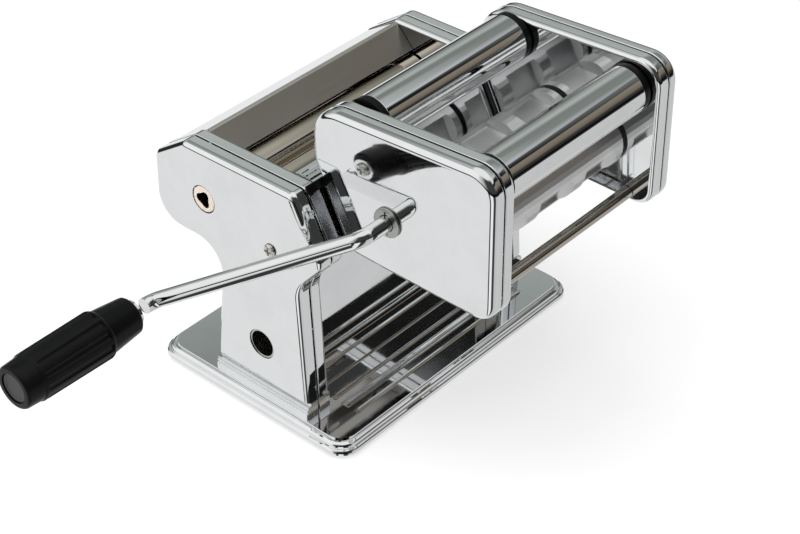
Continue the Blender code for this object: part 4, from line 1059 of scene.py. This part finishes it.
def make_crank():
    y, z = MOULD_PLACES["rear"]
    end = Vector((y + ARM * cos(REST_ANGLE), z + ARM * sin(REST_ANGLE)))
    plug_low, plug_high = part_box("grip_end_plug")
    eye = ((plug_low + plug_high) / 2).yz
    route = [
        Vector((-0.0618, y, z)),
        Vector((-0.0941, y, z)),
        Vector((-0.1511, *end)),
        Vector((-0.1561, *end)),
    ]
    bm = bmesh.new()
    turn = Matrix.Translation(route[0]) @ ALONG_X
    bmesh.ops.create_circle(bm, cap_ends=True, segments=48, radius=ROD_RADIUS, matrix=turn)
    tip = bm.faces[:]
    here = route[0]
    for corner, after in zip(route[1:], route[2:]):
        to_before = (here - corner).normalized()
        to_after = (after - corner).normalized()
        half = to_before.angle(to_after) / 2
        reach = BEND_RADIUS / tan(half)
        tip = grow(bm, tip, corner + to_before * reach - here)
        centre = corner + (to_before + to_after).normalized() * BEND_RADIUS / sin(half)
        spun = bmesh.ops.spin(
            bm, geom=tip, cent=centre, axis=-to_before.cross(to_after), angle=pi - 2 * half,
            steps=16,
        )
        tip = only_faces(spun["geom_last"])
        here = corner + to_after * reach
    grow(bm, tip, route[-1] - here)
    outward(bm)
    rod = bare("bent_rod", bm)

    lift = Vector((cos(SCREW_LEAN), sin(SCREW_LEAN)))
    across = Vector((lift.y, -lift.x)) * 0.0044
    strap_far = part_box("crank_rod")[0].x
    foot = eye - lift * EYE_RADIUS
    strap_outline = [
        foot - across, foot + across, foot + across + lift * 0.0020, foot - across + lift * 0.0020
    ]
    strap = bar_of("crank_strap_joint", strap_outline, strap_far, route[-1].x + 0.0020)
    disc = bare(
        "crank_eye_joint", round_cutter(eye, EYE_RADIUS, strap_far, strap_far + EYE_THICKNESS, 64)
    )
    for number, extra in enumerate((strap, disc)):
        join = rod.modifiers.new(f"join_{number}", "BOOLEAN")
        join.operation = "UNION"
        join.object = extra
    settled(rod)
    for extra in (strap, disc):
        bpy.data.objects.remove(extra, do_unlink=True)
    take_out(rod, [round_cutter(eye, GRIP_SCREW_HOLE, strap_far - 0.001, strap_far + 0.0034, 40)])
    clothe(rod, ROD_CHROME, "crank", ["crank_rod"], sharp=28)

    head = strap_far + EYE_THICKNESS + 0.0003
    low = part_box("grip_screw")[0].x
    outer = [
        (head + 0.0020, 0.0030), (head + 0.0018, 0.0038), (head + 0.0012, 0.0045),
        (head, 0.0046), (head, 0.0028), (low, 0.0028),
    ]
    screw = turned("grip_screw_head", outer, eye, steps=56)
    take_out(screw, cross_head(FAR, head + 0.0020, eye, 0.0046, 0.0011))
    clothe(screw, SCREW_STEEL, "crank", ["grip_screw"])
    return eye


def make_grip(eye):
    low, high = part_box("crank_grip")
    inner, outer = high.x, low.x
    collar = inner - 0.0220
    end = outer + 0.0106
    profile = [
        (inner, 0.0090), (inner - 0.0003, 0.0098), (inner - 0.0010, 0.0105),
        (inner - 0.0020, 0.01075), (collar + 0.0014, 0.0127), (collar + 0.0006, 0.0130),
        (collar + 0.0002, 0.0134), (collar - 0.0003, 0.0138), (collar - 0.0010, 0.0140),
        (end + 0.0008, 0.0136), (end + 0.0002, 0.0134), (end - 0.0002, 0.0129),
        (outer + 0.0016, 0.0124), (outer + 0.0008, 0.0121), (outer + 0.0002, 0.0116),
        (outer, 0.0110),
    ]
    grip = turned("moulded_grip", profile, eye, steps=160)
    cutters = [
        round_cutter(eye, GRIP_SCREW_HOLE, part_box("grip_screw")[0].x - 0.0003, inner + 0.002, 40),
        round_cutter(eye, 0.0086, outer - 0.001, outer + 0.0030, 96),
    ]
    for k in range(GRIP_FLUTES):
        turn = 2 * pi * k / GRIP_FLUTES
        place = (eye.x + 0.0164 * cos(turn), eye.y + 0.0164 * sin(turn))
        cutters.append(round_cutter(place, 0.0034, end + 0.0016, collar - 0.0016, 40))
    take_out(grip, cutters)
    soft_edges(grip, 0.0003, 2, 40)
    settled(grip)
    clothe(grip, BLACK_PLASTIC, "grip", ["crank_grip"])
    plug = turned(
        "grip_cap",
        [
            (outer + 0.0027, 0.0083), (outer + 0.0010, 0.0083), (outer + 0.0008, 0.0081),
            (outer + 0.0008, 0.0066), (outer + 0.0011, 0.0062),
        ],
        eye,
        steps=96,
    )
    clothe(plug, GREY_PLASTIC, "grip", ["grip_end_plug"])


# Stage


def ramp(maker, place, stops):
    """Brightness read off a list of (place, level) stops, in a slightly cool tone."""
    tones = [(at, (level, level * 1.004, level * 1.006)) for at, level in stops]
    return maker.node("ShaderNodeValToRGB", {"stops": tones}, {"Fac": place})


def make_stage():
    bm = bmesh.new()
    bmesh.ops.create_grid(bm, x_segments=1, y_segments=1, size=4.0)
    floor = bare("table_top", bm)
    floor.visible_glossy = False
    material = bpy.data.materials.new("white_table")
    material.use_nodes = True
    maker = Finish(material.node_tree)
    rays = maker.node("ShaderNodeLightPath", out="Is Camera Ray")
    through = rays.output("Is Transmission Ray")
    cloth = maker.node("ShaderNodeBsdfDiffuse", None, {"Color": (0.90, 0.90, 0.90, 1.0)})
    glow = maker.node("ShaderNodeEmission", None, {"Color": (1.0, 1.0, 1.0, 1.0), "Strength": 1.0})
    surface = maker.node(
        "ShaderNodeMixShader", None, {0: (rays + through) * 0.6, 1: cloth, 2: glow}
    )
    maker.node("ShaderNodeOutputMaterial", None, {"Surface": surface})
    floor.data.materials.append(material)

    world = bpy.data.worlds.new("studio")
    bpy.context.scene.world = world
    world.use_nodes = True
    maker = Finish(world.node_tree)
    rays = maker.node("ShaderNodeLightPath", out="Is Camera Ray")
    through = rays.output("Is Transmission Ray")
    direction = maker.node("ShaderNodeTexCoord", out="Generated")
    height = maker.node("ShaderNodeSeparateXYZ", None, {0: direction}, "Z")
    east = height.output("X")
    north = height.output("Y")
    turn = north.worked("ARCTAN2", north, east) / (2 * pi) + 0.5

    # Below the horizon: the table, with a dark break between its two cards
    table = ramp(
        maker,
        turn,
        [
            (0.000, 0.82), (0.022, 0.82), (0.030, 0.04), (0.058, 0.04), (0.068, 0.95),
            (0.130, 0.95), (0.142, 0.05), (0.200, 0.05), (0.214, 0.58), (0.340, 0.64),
            (0.420, 0.60), (0.540, 0.70), (0.620, 0.86), (0.880, 0.82),
        ],
    )
    # Just above it: a tall card at the back left
    walls = ramp(
        maker,
        turn,
        [
            (0.000, 0.55), (0.030, 0.30), (0.060, 0.05), (0.300, 0.04), (0.480, 0.05),
            (0.560, 0.10), (0.700, 0.14), (0.760, 0.50), (0.820, 0.95), (0.955, 0.95),
            (0.990, 0.58),
        ],
    )
    # To the front right: a brown wall, a dark gap above it and a lit panel over both
    front = maker.node(
        "ShaderNodeValToRGB",
        {
            "stops": [
                (0.00, (0.030, 0.030, 0.030)), (0.18, (0.035, 0.032, 0.030)),
                (0.30, (0.180, 0.155, 0.125)), (0.475, (0.250, 0.215, 0.170)),
                (0.505, (0.200, 0.172, 0.136)), (0.530, (0.010, 0.010, 0.010)),
                (0.640, (0.010, 0.010, 0.010)), (0.675, (0.700, 0.720, 0.750)),
                (1.000, (0.800, 0.810, 0.820)),
            ]
        },
        {"Fac": height},
    )
    # Higher up: a grey-green ceiling that grows dark and then bright overhead
    ceiling = ramp(
        maker,
        height,
        [
            (0.00, 0.10), (0.30, 0.30), (0.50, 0.47), (0.57, 0.44), (0.66, 0.22), (0.74, 0.24),
            (0.84, 0.75), (1.00, 0.95),
        ],
    )
    ceiling = maker.mixed("MULTIPLY", 1.0, ceiling, (0.96, 1.03, 0.98))
    facing = maker.share(east * 0.6 + north, -0.12, 0.35)
    right = maker.share(east, -0.05, 0.15)
    around_front = maker.mixed("MIX", right, walls, front)
    upper = maker.mixed("MIX", facing, around_front, ceiling)
    card = maker.share(east * -1.0 + north * 0.5, 0.45, 0.60)
    upper = maker.mixed("MIX", card, upper, walls)
    overhead = maker.share(height, 0.80, 0.90)
    upper = maker.mixed("MIX", overhead, upper, (0.90, 0.90, 0.90))
    horizon = maker.share(height, -0.01, 0.0)
    dark = maker.share(height, 0.06, 0.09)
    below = maker.share(height, -0.09, -0.12)
    level = below.worked("MAXIMUM", below, dark) * 0.97 + 0.03
    around = maker.mixed("MIX", horizon, table, upper)
    glossy = rays.output("Is Glossy Ray")
    # Metal sees the cards; the camera and anything clear see plain white
    seen = maker.mixed("MIX", glossy, (1.0, 1.0, 1.0), maker.shaded(around, level))
    soft = maker.node("ShaderNodeBackground", None, {"Color": around, "Strength": level})
    backdrop = maker.node("ShaderNodeBackground", None, {"Color": seen, "Strength": 1.0})
    mixed = maker.node(
        "ShaderNodeMixShader", None, {0: rays + glossy + through, 1: soft, 2: backdrop}
    )
    maker.node("ShaderNodeOutputWorld", None, {"Surface": mixed})


def lamp(name, place, aim, size, power):
    data = bpy.data.lights.new(name, "AREA")
    data.shape = "RECTANGLE"
    data.size, data.size_y = size
    data.energy = power
    light = bpy.data.objects.new(name, data)
    light.location = place
    light.visible_glossy = False
    light.rotation_mode = "QUATERNION"
    light.rotation_quaternion = (Vector(aim) - Vector(place)).to_track_quat("-Z", "Y")
    bpy.context.scene.collection.objects.link(light)
    return light


def make_lights():
    lamp("overhead_box", (-0.35, 0.15, 1.9), (0, 0, 0.1), (1.6, 1.6), 34.0)
    lamp("left_box", (-1.7, -0.2, 1.1), (0, 0, 0.1), (0.9, 1.2), 12.0)
    lamp("front_strip", (0.5, -1.8, 1.2), (0, 0, 0.1), (1.4, 0.35), 8.0)


def make_camera():
    data = bpy.data.cameras.new("camera")
    data.lens = 91.26
    data.sensor_width = 36.0
    data.shift_x = -0.0205
    data.shift_y = -0.0290
    camera = bpy.data.objects.new("camera", data)
    turn, rise = radians(-48.88), radians(36.44)
    back = Vector((sin(turn) * cos(rise), -cos(turn) * cos(rise), sin(rise)))
    camera.location = (-0.6909, -0.6401, 0.7533)
    camera.rotation_mode = "QUATERNION"
    camera.rotation_quaternion = (-back).to_track_quat("-Z", "Y")
    bpy.context.scene.collection.objects.link(camera)
    bpy.context.scene.camera = camera


DRESS = {
    CREAM_PLASTIC: [
        "near_roller_bearing", "far_roller_bearing", "near_roller_block", "far_roller_block"
    ],
    GEAR_STEEL: ["rear_roller_gear", "front_roller_gear", "rear_mould_gear", "front_mould_gear"],
    MOULD_METAL: ["rear_mould_roller", "front_mould_roller"],
    SCREW_STEEL: ["adjusting_shaft"],
}

make_camera()
make_stage()
make_lights()
make_base()
make_risers()
make_side_boxes()
make_fasteners()
make_sheets()
make_rails()
make_rollers()
make_knob()
make_attachment()
make_guides()
make_hub()
make_grip(make_crank())
for material, names in DRESS.items():
    for node in names:
        for slot in NODES[node].material_slots:
            slot.material = material

bpy.context.scene.view_settings.view_transform = "Standard"
